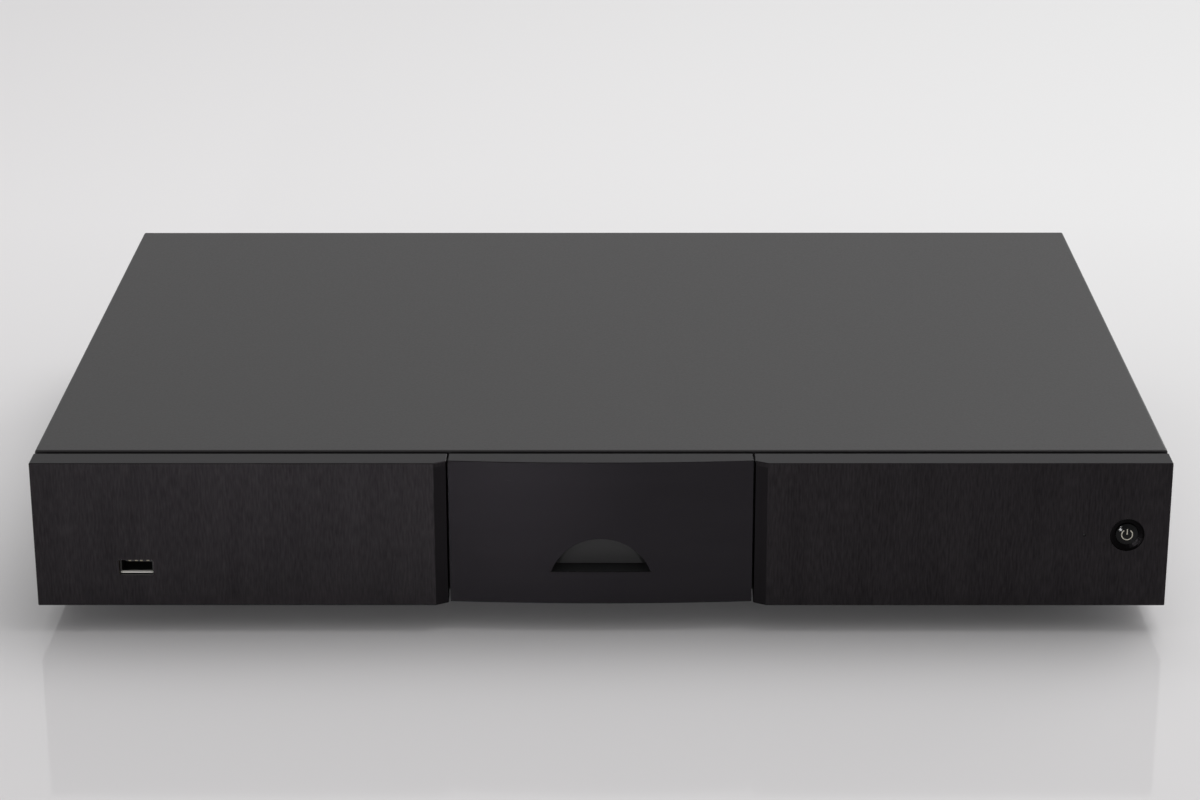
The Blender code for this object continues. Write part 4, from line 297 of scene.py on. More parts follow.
caseLooks = {
    "sleeve": {
        "name": "textured powder coat",  # fine matte pebble that catches the light in tiny points
        "dark": "1B191A", "light": "232122", "driftSize": 1.6, "grainShare": 0.6,
        "grainSize": 0.9,  # the real pebble is 0.3 mm, drawn coarser so that it shows
        "roughness": (0.38, 0.5), "bump": 0.035, "shader": {"Specular IOR Level": 0.42},
    },
    "fascia": {
        "name": "black anodised aluminium",  # near-black satin, brushed from top to bottom
        "dark": "0F0E10", "light": "3A3739", "driftSize": 9.0, "grainSize": 0.7, "grainShare": 0.7,
        "stretch": (1, 1, 0.14), "roughness": (0.26, 0.34), "metallic": 1.0, "bump": 0.004,
        "zones": [
            {"tests": [(("y", button.x, button.z), None, dishRadius), ("y", front + 0.05, None)],
             "colour": "100F10", "roughness": 0.3},  # polished dish
            {"tests": [("x", socketLow.x - 0.8, socketLow.x - 0.1),
                       ("z", socketLow.z - 0.2, socketHigh.z + 0.2), behindFront],
             "colour": "8C837A", "roughness": 0.4},  # painted highlight: the left cut wall beside the front socket drawn pale, as lit from the right
            {"tests": [("x", -chamferEnd, chamferEnd), behindFront, ("z", None, fasciaHigh.z - 1.8)],
             "colour": "232123", "roughness": 0.3},  # painted shade: the chamfers drawn darker than the face, and smoother
            # painted shade on the top edge
            {**shadedTopEdge, "roughness": 0.39},
        ],
    },
    "centre": {
        "name": "satin anodised aluminium",  # a little paler and even, with a smooth satin sheen
        "dark": "2A282B", "light": "2E2C2F", "driftSize": 6.0, "grainSize": 0.8, "stretch": (0.08, 1, 1),
        "roughness": (0.25, 0.28), "metallic": 1.0, "bump": 0.0015,
        "zones": [
            {"tests": [("x", -recessHalf, recessHalf), ("z", *recessFloor), ("y", front + 1.2, -145)],
             "colour": "222223", "roughness": 0.5, "metallic": 0.0},  # floor of the half-moon recess
            # painted shade on the top edge
            {**shadedTopEdge, "roughness": 0.4},
        ],
    },
    "zinc": {
        "name": "zinc plated steel",  # cool grey with faint cloudy spangle
        "dark": "8F9296", "light": "A9ACAF", "driftSize": 7.0, "grainSize": 1.2,
        "roughness": (0.28, 0.42), "metallic": 1.0, "bump": 0.003,
    },
    "panel": {
        "name": "black painted steel",  # flat semi-matte paint with a slight pebble
        "dark": "1A1A1B", "light": "202022", "driftSize": 3.0, "grainSize": 0.8,
        "roughness": (0.45, 0.58), "bump": 0.02,
    },
    "rubber": {
        "name": "black rubber",  # dull, slightly dusty
        "dark": "161616", "light": "202021", "driftSize": 2.5, "grainSize": 0.6,
        "roughness": (0.72, 0.86), "bump": 0.02,
    },
    "lens": {
        "name": "smoked acrylic",  # even deep grey under a satin polish, with painted shade as a black border along its arc
        "dark": "1E1D1E", "light": "222122", "driftSize": 12.0, "grainSize": 4.0, "roughness": (0.42, 0.48),
        "shader": {"Specular IOR Level": 0.35},
        "zones": [
            # painted shade: a black band along the arc for the dark gap round the lens
            {"tests": [(("y", 0, archHeight), archRadius, archReach)], "colour": "050505", "roughness": 0.3},
        ],
    },
    "guide": {
        "name": "frosted acrylic",  # milky white that spreads light
        "dark": "CDD0D1", "light": "DADDDD", "driftSize": 4.0, "grainSize": 0.5,
        "roughness": (0.42, 0.55), "bump": 0.01,
    },
    "plastic": {"name": "black moulded plastic", **mouldedBlack},  # fine spark-eroded matte
    "slider": {
        "name": "ridged black plastic",  # small ridges that a fingernail catches
        "dark": "1B1B1C", "light": "232324", "driftSize": 2.0, "grainSize": 0.35,
        "roughness": (0.36, 0.48), "bump": 0.05, "ribs": {"axis": "x", "pitch": 0.8, "depth": 2.0},
    },
    "nickel": {"name": "bright nickel plate", **nickelTones, "roughness": (0.16, 0.26)},  # mirror grey, a touch warm
    "slideFrame": {
        "name": "nickel plated frame", **nickelTones, "roughness": (0.16, 0.26),  # bright frame round a black track
        "zones": [{"tests": [("y", panelBack - 5.5, None)], "colour": "101011", "roughness": 0.45, "metallic": 0.0}],
    },
    "frontShell": {
        "name": "satin nickel shell",  # painted shade on the rim, a painted highlight on the lower lip and painted shade inside
        "dark": "B4B1AB", "light": "C6C3BD", "driftSize": 2.0, "grainSize": 0.5,
        "roughness": (0.3, 0.4), "metallic": 1.0,
        "zones": [
            # painted shade: the rim at the mouth, above the lower lip, drawn dark
            {"tests": [("y", None, socketLow.y + 0.2), ("z", socketLow.z + 0.5, None)],
             "colour": "171616", "roughness": 0.5, "metallic": 0.0},
            # painted highlight: the lower lip near the mouth drawn near-white
            {"tests": [("z", None, socketLow.z + 0.36), ("y", None, socketLow.y + 1.6)],
             "colour": "F0EEE8", "roughness": 0.45, "metallic": 0.0},
            # painted shade: the inside deeper than the lip drawn near-black
            {"tests": [("y", socketLow.y + 1.6, None)], "colour": "0B0B0B", "roughness": 0.5, "metallic": 0.0},
        ],
    },
    "board": {
        "name": "solder resist", **boardLacquer,  # deep green lacquer over faint copper
        "driftSize": 3.5, "grainSize": 0.8,
        "zones": [
            {"tests": [("z", boardTop + 0.2, streamerLow.z - 0.1), ("y", None, 100), ("x", 90, None)],
             "colour": "C9A95A", "roughness": 0.3, "metallic": 1.0},  # brass pillars under the streamer board
        ],
    },
    "plainBoard": {
        "name": "green board lacquer", **boardLacquer,  # the same lacquer on the other boards
        "driftSize": 2.5, "grainSize": 0.6,
    },
    "capacitor": {
        "name": "shrink sleeve",  # glossy dark blue film with a bare aluminium end
        "dark": "152039", "light": "1B2A4A", "driftSize": 6.0, "grainSize": 1.0,
        "roughness": (0.2, 0.3), "bump": 0.006,
        "zones": [
            {"tests": [("z", boxOf(name)[1].z - 0.1, None), (("z", *middleOf(name)[:2]), None, capEnd)],
             "colour": "B9BBBD", "roughness": 0.3, "metallic": 1.0}
            for name in ("reservoir_capacitor_1", "reservoir_capacitor_2")
        ],
    },
    "heatsink": {
        "name": "black anodised extrusion",  # drawn lines along the height
        "dark": "161617", "light": "202022", "driftSize": 3.0, "grainSize": 0.8, "stretch": (1, 1, 0.1),
        "roughness": (0.36, 0.5), "metallic": 0.4, "bump": 0.01,
    },
    "tape": {
        "name": "polyester winding tape",  # glossy yellow turns that overlap like spokes
        "dark": "A9822A", "light": "CDA947", "driftSize": 5.0, "grainSize": 1.5,
        "roughness": (0.28, 0.4), "bump": 0.05,
        "ribs": {"spokes": 64, "middle": (coil.x, coil.y), "depth": 1.5, "shade": 0.25},
    },
    "jacket": {
        "name": "lead jacket",  # soft satin vinyl
        "dark": "151515", "light": "1B1B1C", "driftSize": 3.0, "grainSize": 0.5,
        "roughness": (0.4, 0.55), "bump": 0.01,
    },
    "ribbon": {
        "name": "ribbon insulation",  # pale grey ribs along its length and one red edge
        "dark": "8A8C8E", "light": "A3A5A7", "driftSize": 3.0, "grainSize": 0.6,
        "roughness": (0.42, 0.55), "bump": 0.08, "ribs": {"axis": "x", "pitch": 1.27, "depth": 2.0, "shade": 0.3},
        "zones": [
            {"tests": [("x", None, boxOf("front_ribbon")[0].x + 1.2)], "colour": "8E2A25", "roughness": 0.5},
        ],
    },
    "cap": {
        "name": "gloss black acrylic",  # deep black under a hard polish
        "dark": "040405", "light": "060607", "driftSize": 6.0, "grainSize": 3.0, "roughness": (0.04, 0.07),
        "shader": {"Specular IOR Level": 0.18},
    },
    "glass": {
        "name": "fuse glass",  # clear tube between bright end caps
        "dark": "C3CDCB", "light": "CED7D5", "driftSize": 3.0, "grainSize": 1.0, "roughness": (0.03, 0.06),
        "shader": {"Transmission Weight": 0.6},
        "zones": [
            {"tests": [("x", None, fuse.x - 6)], "roughness": 0.2, **bareMetal},
            {"tests": [("x", fuse.x + 6, None)], "roughness": 0.2, **bareMetal},
        ],
    },
    "inlet": {
        "name": "inlet moulding", **mouldedBlack,  # matte black with three bright blades inside
        "zones": [
            {"tests": [("x", inlet.x + side - 1.05, inlet.x + side + 1.05), ("z", inlet.z + low, inlet.z + low + 4.1),
                       ("y", 130.5, 146.0)],
             "roughness": 0.25, **bareMetal}
            for side, low in ((-7, 0.4), (7, 0.4), (0, 4.4))
        ],
    },
    "rocker": {
        "name": "rocker moulding",  # gloss black with a printed bar and ring
        "dark": "121213", "light": "171718", "driftSize": 3.0, "grainSize": 0.5, "roughness": (0.2, 0.28),
        "zones": [
            {"tests": [("x", rocker.x - 0.3, rocker.x + 0.3), ("z", 42.6, 46.0), ("y", 143.5, None)], **inkZone},
            {"tests": [(("y", rocker.x, 35.6), 1.15, 1.7), ("y", 143.5, None)], **inkZone},
        ],
    },
    "network": {
        "name": "network shield", **nickelTones, "roughness": (0.2, 0.3),  # bright plate round a black cavity
        "zones": [
            {"tests": [("x", network.x - 5.97, network.x + 5.97), ("z", networkLow.z + 3.38, networkHigh.z - 0.55),
                       ("y", networkLow.y + 6.4, networkHigh.y - 0.05)],
             "colour": "161617", "roughness": 0.4, "metallic": 0.0},
        ],
    },
}
finishes = {key: makeMaterial(look) for key, look in caseLooks.items()}

wearers = {
    "sleeve": ["sleeve"],
    "fascia": ["fascia_left", "fascia_right"],
    "centre": ["fascia_centre"],
    "zinc": ["base_tray", "transformer_dish", "transformer_bolt"],
    "panel": ["front_subpanel", "rear_panel"],
    "rubber": ["foot_front_left", "foot_front_right", "foot_rear_left", "foot_rear_right", "transformer_pad"],
    "lens": ["badge_lens", "sensor_light_pipe"],
    "guide": ["badge_light_guide"],
    "plastic": [
        "usb_front_tongue", "usb_rear_tongue", "power_switch", "button_guide", "fuse_drawer", "rocker_housing",
        "optical_input_1", "optical_input_2", "optical_shutter_1", "optical_shutter_2",
    ],
    "slider": ["ground_slider"],
    "nickel": ["usb_rear_shell", "switch_plunger", "shield_can"],
    "slideFrame": ["ground_switch_body"],
    "frontShell": ["usb_front_shell"],
    "board": ["main_board"],
    "plainBoard": ["badge_led_board", "usb_front_board", "switch_board", "power_board", "streamer_board"],
    "capacitor": ["reservoir_capacitor_1", "reservoir_capacitor_2"],
    "heatsink": ["regulator_heatsink"],
    "tape": ["transformer_coil"],
    "jacket": ["usb_lead", "transformer_lead"],
    "ribbon": ["front_ribbon"],
    "cap": ["power_button"],
    "glass": ["fuse"],
    "inlet": ["mains_inlet"],
    "rocker": ["mains_rocker"],
    "network": ["network_socket"],
}
for key, names in wearers.items():
    dress(names, finishes[key])
print("player: case finished")


# Round sockets, whose zones follow their own axis

roundSockets = {
    # washer: inner radius and colour. core: inner radius, outer radius and colour. reach: its end past the panel.
    "phono_left": {"metal": "gold", "washer": (4.2, "D8D8D4"), "core": (0, 3.2, "E2E2DE"), "reach": 9.0},
    "phono_right": {"metal": "gold", "washer": (4.2, "9C1F1C"), "core": (0, 3.2, "A8211E"), "reach": 9.0},
    "coax_input": {"metal": "gold", "washer": (4.2, "1A1A1B"), "core": (0, 3.2, "2A2A2B"), "reach": 9.0},
    "bnc_input": {"metal": "nickel", "washer": None, "core": (0.9, 2.5, "DAD9D4"), "reach": 9.8},
    "bnc_output": {"metal": "nickel", "washer": None, "core": (0.9, 2.5, "DAD9D4"), "reach": 9.8},
    "antenna_socket_left": {"metal": "gold", "washer": None, "core": (0.7, 2.2, "DAD9D4"), "reach": 4.0},
    "antenna_socket_right": {"metal": "gold", "washer": None, "core": (0.7, 2.2, "DAD9D4"), "reach": 4.0},
    "remote_jack": {"metal": "nickel", "washer": (3.9, "1A1A1B"), "core": None, "reach": 2.2},
    "din_output": {"metal": "plastic", "washer": None, "core": (6.68, 7.72, "BDBBB6"), "reach": -4.4},
}
socketMetals = {
    # light, dark, metallic and roughness
    "gold": ("DDB656", "CFA541", 1.0, (0.16, 0.26)),
    "nickel": ("C9C7C2", "BDBBB6", 1.0, (0.16, 0.26)),
    "plastic": ("1C1C1D", "161617", 0.0, (0.36, 0.48)),
}
antennaThread = {"pitch": 0.75, "radii": (2.9, 3.3), "reach": (2.5, 8.6), "bump": 0.1}


def makeSocketLook(name, values):
    # Plated barrel outside the panel, moulded block behind it, coloured washer and insulated core
    middle = middleOf(name)
    line = ("y", middle.x, middle.z)
    light, dark, metallic, roughness = socketMetals[values["metal"]]
    look = {
        "name": name.replace("_", " ") + " plating", "dark": dark, "light": light, "metallic": metallic,
        "driftSize": 2.0, "grainSize": 0.5, "roughness": roughness, "zones": [],
    }
    if name.startswith("antenna"):
        start, end = (panelBack + reach for reach in antennaThread["reach"])
        look["bump"] = antennaThread["bump"]
        look["ribs"] = {
            "axis": "y", "pitch": antennaThread["pitch"], "depth": 1.0,
            "tests": [(line, *antennaThread["radii"]), ("y", start, end)],
        }
    else:
        block = [("y", None, panelBack - 1.7)]
        look["zones"].append({"tests": block, "colour": "18181A", "roughness": 0.45, "metallic": 0.0})
    if values["washer"]:
        inner, colour = values["washer"]
        washer = [(line, inner, None), ("y", panelBack, None)]
        look["zones"].append({"tests": washer, "colour": colour, "roughness": 0.4, "metallic": 0.0})
    if values["core"]:
        inner, outer, colour = values["core"]
        core = [(line, inner, outer), ("y", panelBack + values["reach"] - 0.3, None)]
        look["zones"].append({
            "tests": core, "colour": colour, "roughness": 0.45,
            "metallic": 1.0 if values["metal"] == "plastic" else 0.0,  # a moulded socket has a bright shell instead
        })
    return look


for name, values in roundSockets.items():
    dress([name], makeMaterial(makeSocketLook(name, values)))
print("player: round sockets finished")


# Power sign on the cap

powerSign = {
    "ringRadius": 2.06, "stroke": 0.37, "gapHalfTurn": 0.62,  # the gap in radians either side of the top
    "barTop": 2.3, "barLow": 0.1, "lift": 0.03,
    "domeFall": 0.7, "domeRadius": 4.2,  # the cap's rim lies this far behind its middle
    "ringSteps": 57, "barSteps": 12, "strokeSteps": 5,
    "dark": "A9A598", "light": "B6B2A5",
}


def bandOnCap(centre, across):
    # Points of a line plus shares of its width, laid on the dome: depth is the fall times the radius squared
    width = np.linspace(-0.5, 0.5, powerSign["strokeSteps"])[:, None, None]
    x, z = (centre[None] + across[None] * width).reshape(-1, 2).T
    fall = powerSign["domeFall"] * (np.hypot(x, z) / powerSign["domeRadius"]) ** 2
    y = boxOf("power_button")[0].y + fall - powerSign["lift"]
    return np.stack([button.x + x, y, button.z + z], axis=1), gridFaces(len(width), len(centre), closed=False)


def makePowerSign():
    # An open ring of even stroke, and a bar that stands in its gap
    material = makeMaterial({
        "name": "printed sign ink", "dark": powerSign["dark"], "light": powerSign["light"],  # warm off-white
        "driftSize": 1.5, "grainSize": 0.3, "roughness": (0.4, 0.5),
    })
    top, gap = math.pi / 2, powerSign["gapHalfTurn"]
    turn = np.linspace(top + gap, top + 2 * math.pi - gap, powerSign["ringSteps"])
    spoke = np.stack([np.cos(turn), np.sin(turn)], axis=1)
    ringPoints, ringFaces = bandOnCap(spoke * powerSign["ringRadius"], spoke * powerSign["stroke"])
    bar = np.linspace(powerSign["barLow"], powerSign["barTop"], powerSign["barSteps"])
    across = np.stack([bar * 0 + powerSign["stroke"], bar * 0], axis=1)
    sign = joined([(ringPoints, ringFaces[:, ::-1]), bandOnCap(np.stack([bar * 0, bar], axis=1), across)])
    meshPiece("power_sign", *sign, material, "gloss_button", "power_button", closed=False)


makePowerSign()
print("player: power sign")


# Contacts in the square sockets

contacts = {
    "usbOffsets": (-3.5, -1.0, 1.0, 3.5), "usbWidth": 1.0, "usbThickness": 0.1,
    "usbRoot": 6.0, "usbUnder": -0.3,  # where a strip starts: short of the tongue's root, below its socket's axis
    "usbTip": ((-0.6, -0.32), (-0.1, -0.31), (0.07, -0.1), (0.07, 0.5)),  # steps past the tip, and up from the axis
    "networkCount": 8, "networkPitch": 1.02, "networkWidth": 0.42, "networkThickness": 0.25,
    "networkPath": ((2.0, 28.95), (2.8, 29.1), (11.0, 31.5), (13.3, 31.9)),  # depth in the opening, and height
    "dark": "A79F8C", "light": "BDB6A4",
}
contactGold = makeMaterial({
    "name": "contact plating", "dark": contacts["dark"], "light": contacts["light"],  # thin, barely warm plating
    "driftSize": 1.0, "grainSize": 0.3, "roughness": (0.22, 0.32), "metallic": 1.0,
})


def makeUsbContacts(name, out):
    # Four strips along the underside of the tongue, turned up over its tip, which points out along Y
    middle = middleOf(name + "_shell")
    low, high = boxOf(name + "_tongue")
    tip, root = (high.y, low.y) if out > 0 else (low.y, high.y)
    path = [(0, root + out * contacts["usbRoot"], middle.z + contacts["usbUnder"])]
    path += [(0, tip + out * past, middle.z + above) for past, above in contacts["usbTip"]]
    strip = bentStrip(path, (contacts["usbWidth"], 0, 0), contacts["usbThickness"])
    strips = repeated(*strip, [(middle.x + offset, 0, 0) for offset in contacts["usbOffsets"]])
    meshPiece(name + "_contacts", *strips, contactGold, "gold_plate")


def makeNetworkContacts():
    # Eight sprung wires that rise from the floor of the cavity towards its back
    path = [(0, networkHigh.y - depth, height) for depth, height in contacts["networkPath"]]
    wire = bentStrip(path, (contacts["networkWidth"], 0, 0), contacts["networkThickness"])
    steps = np.arange(contacts["networkCount"]) - (contacts["networkCount"] - 1) / 2
    across = network.x + steps * contacts["networkPitch"]
    wires = repeated(*wire, np.stack([across, across * 0, across * 0], axis=1))
    meshPiece("network_contacts", *wires, contactGold, "gold_plate")


makeUsbContacts("usb_front", -1)
makeUsbContacts("usb_rear", 1)
makeNetworkContacts()
print("player: contacts")


# Screws

screws = {
    "height": 1.3, "radius": 3.0,  # of a pan head, which every size of screw is scaled from
    "ringRadii": (0, 0.26, 0.58, 0.88, 1, 1, 0),  # shares of the radius, from the top's middle round to below
    "armHeights": (0, 0.05, 0.45, 0.75, 0.45, 0, 0),  # shares of the height along the arms of the cross
    "flankHeights": (0, 0.65, 0.9, 0.75, 0.45, 0, 0),  # and between them
    "columns": 12, "columnsPerArm": 3,
    "black": ("161617", "1F1F20", 0.3), "bright": ("A4A6A9", "B7B9BB", 1.0),  # dark, light and metallic
    "rearOuter": [(side * 207.5, z) for side in (-1, 1) for z in (19.0, 61.5)],  # x and z
    "rearInner": [(side * 65.0, z) for side in (-1, 1) for z in (18.0, 62.5)],
    "inletStep": 20.0, "inletProud": 2.9,  # from the inlet's middle, and past the panel
    "flangeStep": 6.0, "flangeDepths": (-120.0, -30.0, 60.0, 130.0),  # in from the sleeve's side, and y
    "footHeight": 7.0,
}
screwPlating = {
    tone: makeMaterial({
        "name": tone + " screw plating", "dark": screws[tone][0], "light": screws[tone][1],  # smooth machine finish
        "driftSize": 2.0, "grainSize": 0.4, "roughness": (0.25, 0.35), "metallic": screws[tone][2],
    })
    for tone in ("black", "bright")
}


def makeScrews(name, places, radius, facing, tone, slot):
    # Heads turned from a profile of rings, whose heights are lower in every third column, the arms of the cross
    columns = screws["columns"]
    arms = np.arange(columns) % screws["columnsPerArm"] == 0
    shares = np.where(arms, np.array([screws["armHeights"]]).T, np.array([screws["flankHeights"]]).T)
    radii = np.array(screws["ringRadii"]) * radius
    points, faces = turned(radii, shares * screws["height"] * radius / screws["radius"], columns)
    x, y, z = points.T
    points = np.stack([x, z, y] if facing == "back" else [x, y, -z], axis=1)
    meshPiece(name, *repeated(points, faces, places), screwPlating[tone], slot)


rearPlaces = [(x, panelBack, z) for x, z in screws["rearOuter"] + screws["rearInner"]]
inletPlaces = [
    (inlet.x + side * screws["inletStep"], panelBack + screws["inletProud"], inlet.z) for side in (-1, 1)
]
sleeveLow, sleeveHigh = boxOf("sleeve")
flangePlaces = [
    (side * (sleeveHigh.x - screws["flangeStep"]), y, sleeveLow.z) for side in (-1, 1) for y in screws["flangeDepths"]
]
makeScrews("rear_screws", rearPlaces, 2.6, "back", "black", "black_steel")
makeScrews("inlet_screws", inletPlaces, 2.7, "back", "black", "black_plastic")
makeScrews("flange_screws", flangePlaces, 2.5, "down", "black", "textured_paint")
for corner in ("front_left", "front_right", "rear_left", "rear_right"):
    foot = middleOf("foot_" + corner)
    place = (foot.x, foot.y, screws["footHeight"])
    makeScrews("foot_screw_" + corner, [place], 3.4, "down", "bright", "zinc_steel")
print("player: screws")


# Printed words on the back

legends = {
    "size": 2.3, "lift": 0.03,
    "dark": "B9B9B6", "light": "C8C8C5",
    "words": [
        # the word and the middle it is set on, x and z
        ("MAINS IN", -179.7, 60.8), ("I / O", -136.4, 55.6), ("GROUND", -108.1, 48.4), ("OUT 1", -78.9, 48.4),
        ("L", -53.65, 43.6), ("OUT 2", -42.4, 48.4), ("R", -31.23, 43.6), ("ANTENNA A", -10.2, 53.0),
        ("OUT 3", 12.0, 46.6), ("IN 1", 37.0, 46.6), ("IN 2", 60.6, 43.6), ("IN 4", 83.7, 40.6),
        ("IN 3", 107.6, 40.6), ("USB", 130.9, 34.6), ("NETWORK", 155.7, 43.2), ("REMOTE", 179.6, 38.8),
        ("ANTENNA B", 193.0, 53.0),
    ],
}


def makeLegends():
    # Flat letters, each word a mesh before it is turned to be read from behind and set just off the panel
    material = makeMaterial({
        "name": "screen printed ink", "dark": legends["dark"], "light": legends["light"],  # flat pale grey
        "driftSize": 2.0, "grainSize": 0.4, "roughness": (0.5, 0.6),
    })
    shape = bmesh.new()
    for word, x, z in legends["words"]:
        curve = bpy.data.curves.new("legend", "FONT")
        curve.body = word
        curve.size = legends["size"]
        curve.align_x = "CENTER"
        curve.align_y = "CENTER"
        holder = bpy.data.objects.new("legend", curve)
        bpy.context.scene.collection.objects.link(holder)
        bpy.context.view_layer.update()
        letters = bpy.data.meshes.new_from_object(holder.evaluated_get(bpy.context.evaluated_depsgraph_get()))
        turn = Matrix(((-1, 0, 0, x), (0, 0, 1, panelBack + legends["lift"]), (0, 1, 0, z), (0, 0, 0, 1)))
        letters.transform(Matrix.Scale(mm, 4) @ turn)
        shape.from_mesh(letters)
        bpy.data.objects.remove(holder)
        bpy.data.curves.remove(curve)
        bpy.data.meshes.remove(letters)
    mesh = bpy.data.meshes.new("rear_legends")
    shape.to_mesh(mesh)
    shape.free()
    finishPiece("rear_legends", mesh, material)


makeLegends()
print("player: printed words")


# Parts on the boards

boardParts = {
    # chips: middle x, middle y, width, depth, height, and the leads along each long side
    # cans: middle x, middle y, radius, height
    "main_board": {
        "chips": [
            (20, 60, 14, 14, 1.6, 10), (55, 62, 10, 10, 1.4, 8), (-10, 95, 9, 6, 1.6, 4), (-40, 95, 9, 6, 1.6, 4),
            (-10, 75, 9, 6, 1.6, 4), (-40, 75, 9, 6, 1.6, 4), (30, 95, 9, 6, 1.6, 4), (60, 95, 9, 6, 1.6, 4),
            (95, 60, 12, 12, 1.6, 9), (60, 20, 12, 8, 2.4, 6), (0, -20, 18, 12, 2.4, 10),
        ],
        "cans": [(x, y, 3.2, 11.0) for x in (-70, -58) for y in (60, 72, 84)]
        + [(x, 40, 2.5, 7.0) for x in (5, 15, 35, 45)],
    },
    "streamer_board": {"chips": [(116, -30, 10, 10, 1.4, 8), (116, -60, 12, 8, 1.4, 6)], "cans": []},
    "power_board": {
        "chips": [(-140, 90, 12, 9, 4.0, 4), (-118, 92, 10, 8, 3.0, 4)],
        "cans": [(-160, 95, 6.5, 20.0), (-178, 95, 6.5, 20.0), (-150, 60, 4.0, 12.0)],
    },
}
chipShape = {
    "shares": (0.94, 1.0, 0.98, 0.94), "lift": 0.15, "rim": 0.2,  # outline at each level, and levels of its ends
    "leadSteps": (-0.1, 0.5, 0.8, 1.4), "leadLow": (0.1, 0.06),  # out from the edge, and height on the board
    "leadShare": 0.4, "leadSpread": 0.9, "leadThickness": 0.12,  # of the space for each lead, and of the width
}
canShape = {
    "radii": (0, 0.98, 1.0, 1.0, 0.9, 1.0, 1.0, 0.9, 0),  # a groove rolled in near the foot
    "heights": (0, 0, 0.03, 0.1, 0.13, 0.16, 0.97, 1.0, 1.0),
    "columns": 16,
}
chipBlack = makeMaterial({
    "name": "chip moulding", "dark": "18191A", "light": "222324",  # dull epoxy
    "driftSize": 2.0, "grainSize": 0.3, "roughness": (0.5, 0.62), "bump": 0.01,
})
canSleeve = makeMaterial({
    "name": "can sleeve", "dark": "1D1E22", "light": "26272C",  # dark film over small cans
    "driftSize": 3.0, "grainSize": 0.5, "roughness": (0.25, 0.35), "bump": 0.005,
})


def chipBody(width, depth, height):
    # A rectangle scaled by a share at each of four levels, with both ends closed
    outline = np.array([(-1, -1), (1, -1), (1, 1), (-1, 1)]) / 2 * (width, depth)
    levels = (chipShape["lift"], height / 2, height - chipShape["rim"], height)
    rings = [np.column_stack([outline * share, [z] * 4]) for share, z in zip(chipShape["shares"], levels)]
    ends = np.array([[3, 2, 1, 0], [12, 13, 14, 15]])
    return np.concatenate(rings), np.concatenate([gridFaces(4, 4), ends])


def chipLeads(width, depth, height, count):
    # Gull wings: strips that leave the block's sides at half its height and land flat on the board
    room = width / count
    heights = (height / 2, height / 2, *chipShape["leadLow"])
    places = [((step - (count - 1) / 2) * room * chipShape["leadSpread"], 0, 0) for step in range(count)]
    sides = []
    for side in (-1, 1):
        path = [(0, side * (depth / 2 + out), z) for out, z in zip(chipShape["leadSteps"], heights)]
        strip = bentStrip(path, (room * chipShape["leadShare"], 0, 0), chipShape["leadThickness"])
        sides.append(repeated(*strip, places))
    return joined(sides)


def makeBoardParts(board, chips, cans):
    # Each kind of part on a board is one piece, and each part is moved to its place on the board's top
    top = streamerHigh.z if board == "streamer_board" else boardTop
    bodies = [repeated(*chipBody(*size), [(x, y, top)]) for x, y, *size, count in chips]
    leads = [repeated(*chipLeads(*size), [(x, y, top)]) for x, y, *size in chips]
    meshPiece(board + "_chips", *joined(bodies), chipBlack, "black_plastic")
    meshPiece(board + "_leads", *joined(leads), screwPlating["bright"], "bright_nickel")
    if cans:
        radii, heights = np.array(canShape["radii"]), np.array(canShape["heights"])
        parts = [
            repeated(*turned(radii * radius, heights * height, canShape["columns"]), [(x, y, top)])
            for x, y, radius, height in cans
        ]
        meshPiece(board + "_cans", *joined(parts), canSleeve, "capacitor_sleeve")


for board, parts in boardParts.items():
    makeBoardParts(board, parts["chips"], parts["cans"])
print("player: board parts")


# Studio, in metres

studio = {
    # painted light: the floor's three tones stand in for light falling off towards the near and left side
    "floorNear": "DDDBDC", "floorFar": "F1EFF0", "floorRight": "F3F3F3",
    "floorHalf": 6, "floorPoints": 25, "floorRoughness": 0.06, "floorSpecular": 0.25,
    "toneAcross": (-0.4, 0.7), "toneAway": (-0.4, 0.4),  # x and y between which the floor's tone changes
    "cameraPlace": (0.00494, -1.22448, 0.48127), "pitch": 19.86, "yaw": 0.0048, "roll": 0.0018,
    "focalPixels": 3037.16, "frameWidth": 1200, "sensorWidth": 36, "clip": (0.01, 50),
    "frontLevel": 0.34, "backLevel": 0.7, "brightSide": (0.75, 0.6, 0.0), "lean": 0.6,
}
softboxes = {
    # place, aim, size, and power in watts
    "overhead softbox": ((0.45, 0.35, 1.6), (0, 0, 0.05), (1.8, 1.2), 13),
    "back right softbox": ((1.6, 1.9, 0.8), (0, 0, 0.05), (1.2, 1.0), 9),
    "left softbox": ((-0.95, -1.6, 0.3), (0, 0, 0.05), (0.5, 0.6), 4),
    "front left strip": ((-0.28, -2.1, 0.22), (0.2, 0, 0.05), (0.13, 0.4), 8),
}


def makeCamera():
    # The photograph's pitch in degrees, yaw and roll in radians, and focal length in pixels
    pitch, yaw, roll = math.radians(studio["pitch"]), studio["yaw"], studio["roll"]
    forward = Vector((-math.sin(yaw) * math.cos(pitch), math.cos(yaw) * math.cos(pitch), -math.sin(pitch)))
    right = Vector((math.cos(yaw), math.sin(yaw), 0))
    down = forward.cross(right)
    across = right * math.cos(roll) + down * math.sin(roll)
    drop = down * math.cos(roll) - right * math.sin(roll)
    data = bpy.data.cameras.new("studio camera")
    data.sensor_width = studio["sensorWidth"]
    data.lens = studio["sensorWidth"] * studio["focalPixels"] / studio["frameWidth"]
    data.clip_start, data.clip_end = studio["clip"]
    camera = bpy.data.objects.new("studio camera", data)
    bpy.context.scene.collection.objects.link(camera)
    turn = Matrix((across, -drop, -forward)).transposed().to_4x4()
    camera.matrix_world = Matrix.Translation(studio["cameraPlace"]) @ turn
    bpy.context.scene.camera = camera


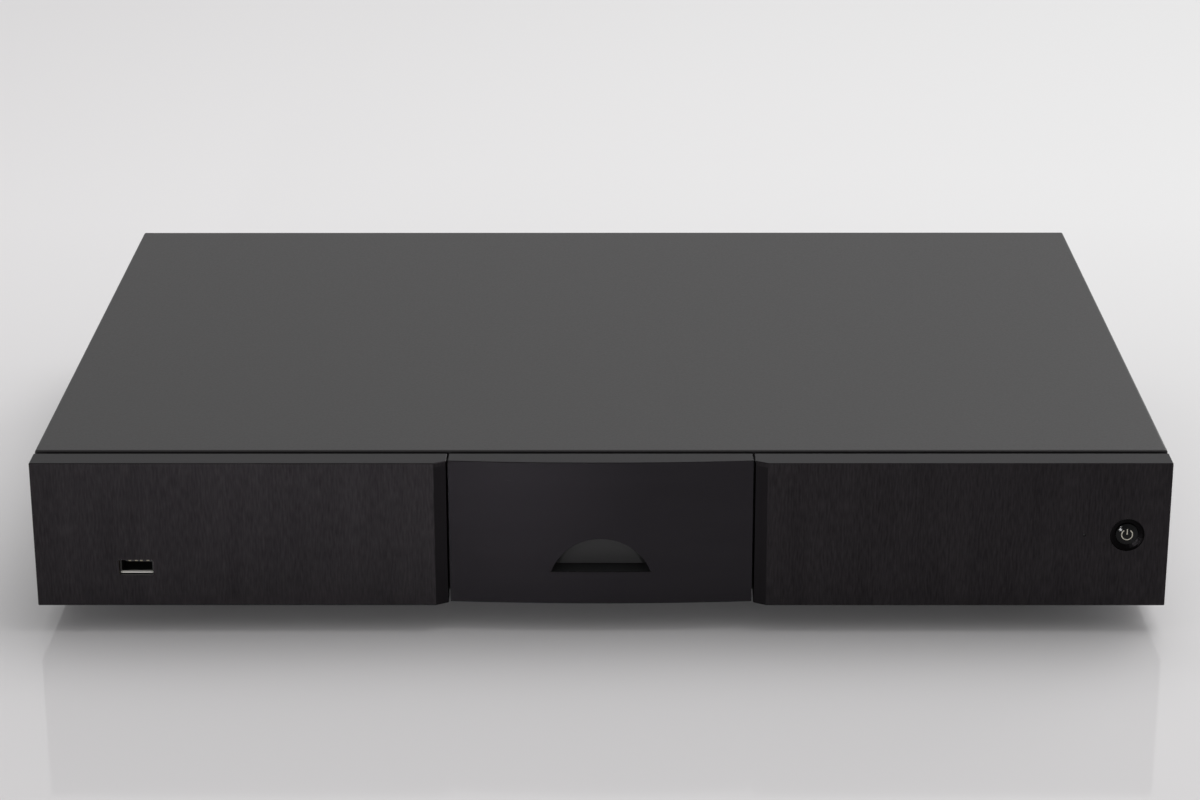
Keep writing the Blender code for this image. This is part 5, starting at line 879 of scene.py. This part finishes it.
def makeLight(name, place, aim, size, power):
    data = bpy.data.lights.new(name, "AREA")
    data.shape = "RECTANGLE"
    data.size, data.size_y = size
    data.energy = power
    light = bpy.data.objects.new(name, data)
    bpy.context.scene.collection.objects.link(light)
    light.location = place
    light.rotation_euler = (Vector(aim) - Vector(place)).to_track_quat("-Z", "Y").to_euler()


def makeFloor():
    # A wide polished plane whose tone rises from near to far, and a little more to the right: painted light, standing
    # in for the lamps' falloff
    count = studio["floorPoints"]
    side = np.linspace(-studio["floorHalf"], studio["floorHalf"], count)
    x, y = np.meshgrid(side, side, indexing="ij")
    points = np.stack([x, y, x * 0], axis=-1).reshape(-1, 3)
    mesh = bpy.data.meshes.new("studio floor")
    mesh.from_pydata(points.tolist(), [], gridFaces(count, count, closed=False).tolist())
    floor = bpy.data.objects.new("studio_floor", mesh)
    bpy.context.scene.collection.objects.link(floor)
    material = bpy.data.materials.new("white sweep")
    material.use_nodes = True
    tree = material.node_tree
    shader = tree.nodes["Principled BSDF"]
    spot = addNode(tree, "ShaderNodeTexCoord", {}).outputs["Object"]
    axes = addNode(tree, "ShaderNodeSeparateXYZ", {0: spot}).outputs
    across, away = (
        addNode(tree, "ShaderNodeMapRange", {"Value": axis, "From Min": low, "From Max": high}).outputs[0]
        for axis, (low, high) in ((axes[0], studio["toneAcross"]), (axes[1], studio["toneAway"]))
    )
    farTone = addNode(tree, "ShaderNodeMix", {
        "data_type": "RGBA", "Factor": across,
        colourA: linearColour(studio["floorFar"]), colourB: linearColour(studio["floorRight"]),
    }).outputs[mixedColour]
    tone = addNode(tree, "ShaderNodeMix", {
        "data_type": "RGBA", "Factor": away, colourA: linearColour(studio["floorNear"]), colourB: farTone,
    }).outputs[mixedColour]
    tree.links.new(tone, shader.inputs["Base Color"])
    shader.inputs["Roughness"].default_value = studio["floorRoughness"]
    shader.inputs["Specular IOR Level"].default_value = studio["floorSpecular"]
    mesh.materials.append(material)


def makeWorld():
    # White light that grows with the share of its direction that points to the bright side
    world = bpy.data.worlds.new("studio world")
    bpy.context.scene.world = world
    world.use_nodes = True
    tree = world.node_tree
    tree.nodes.clear()
    way = addNode(tree, "ShaderNodeTexCoord", {}).outputs["Generated"]
    lean = addNode(tree, "ShaderNodeVectorMath", {"operation": "DOT_PRODUCT", 0: way, 1: studio["brightSide"]})
    level = addNode(tree, "ShaderNodeMapRange", {
        "Value": lean.outputs["Value"], "From Min": -studio["lean"], "From Max": studio["lean"],
        "To Min": studio["frontLevel"], "To Max": studio["backLevel"],
    }).outputs[0]
    lit = addNode(tree, "ShaderNodeBackground", {"Color": (1, 1, 1, 1), "Strength": level}).outputs[0]
    addNode(tree, "ShaderNodeOutputWorld", {"Surface": lit})


makeCamera()
makeFloor()
makeWorld()
for name, values in softboxes.items():
    makeLight(name, *values)
bpy.context.scene.view_settings.view_transform = "Standard"
print("player: studio ready")
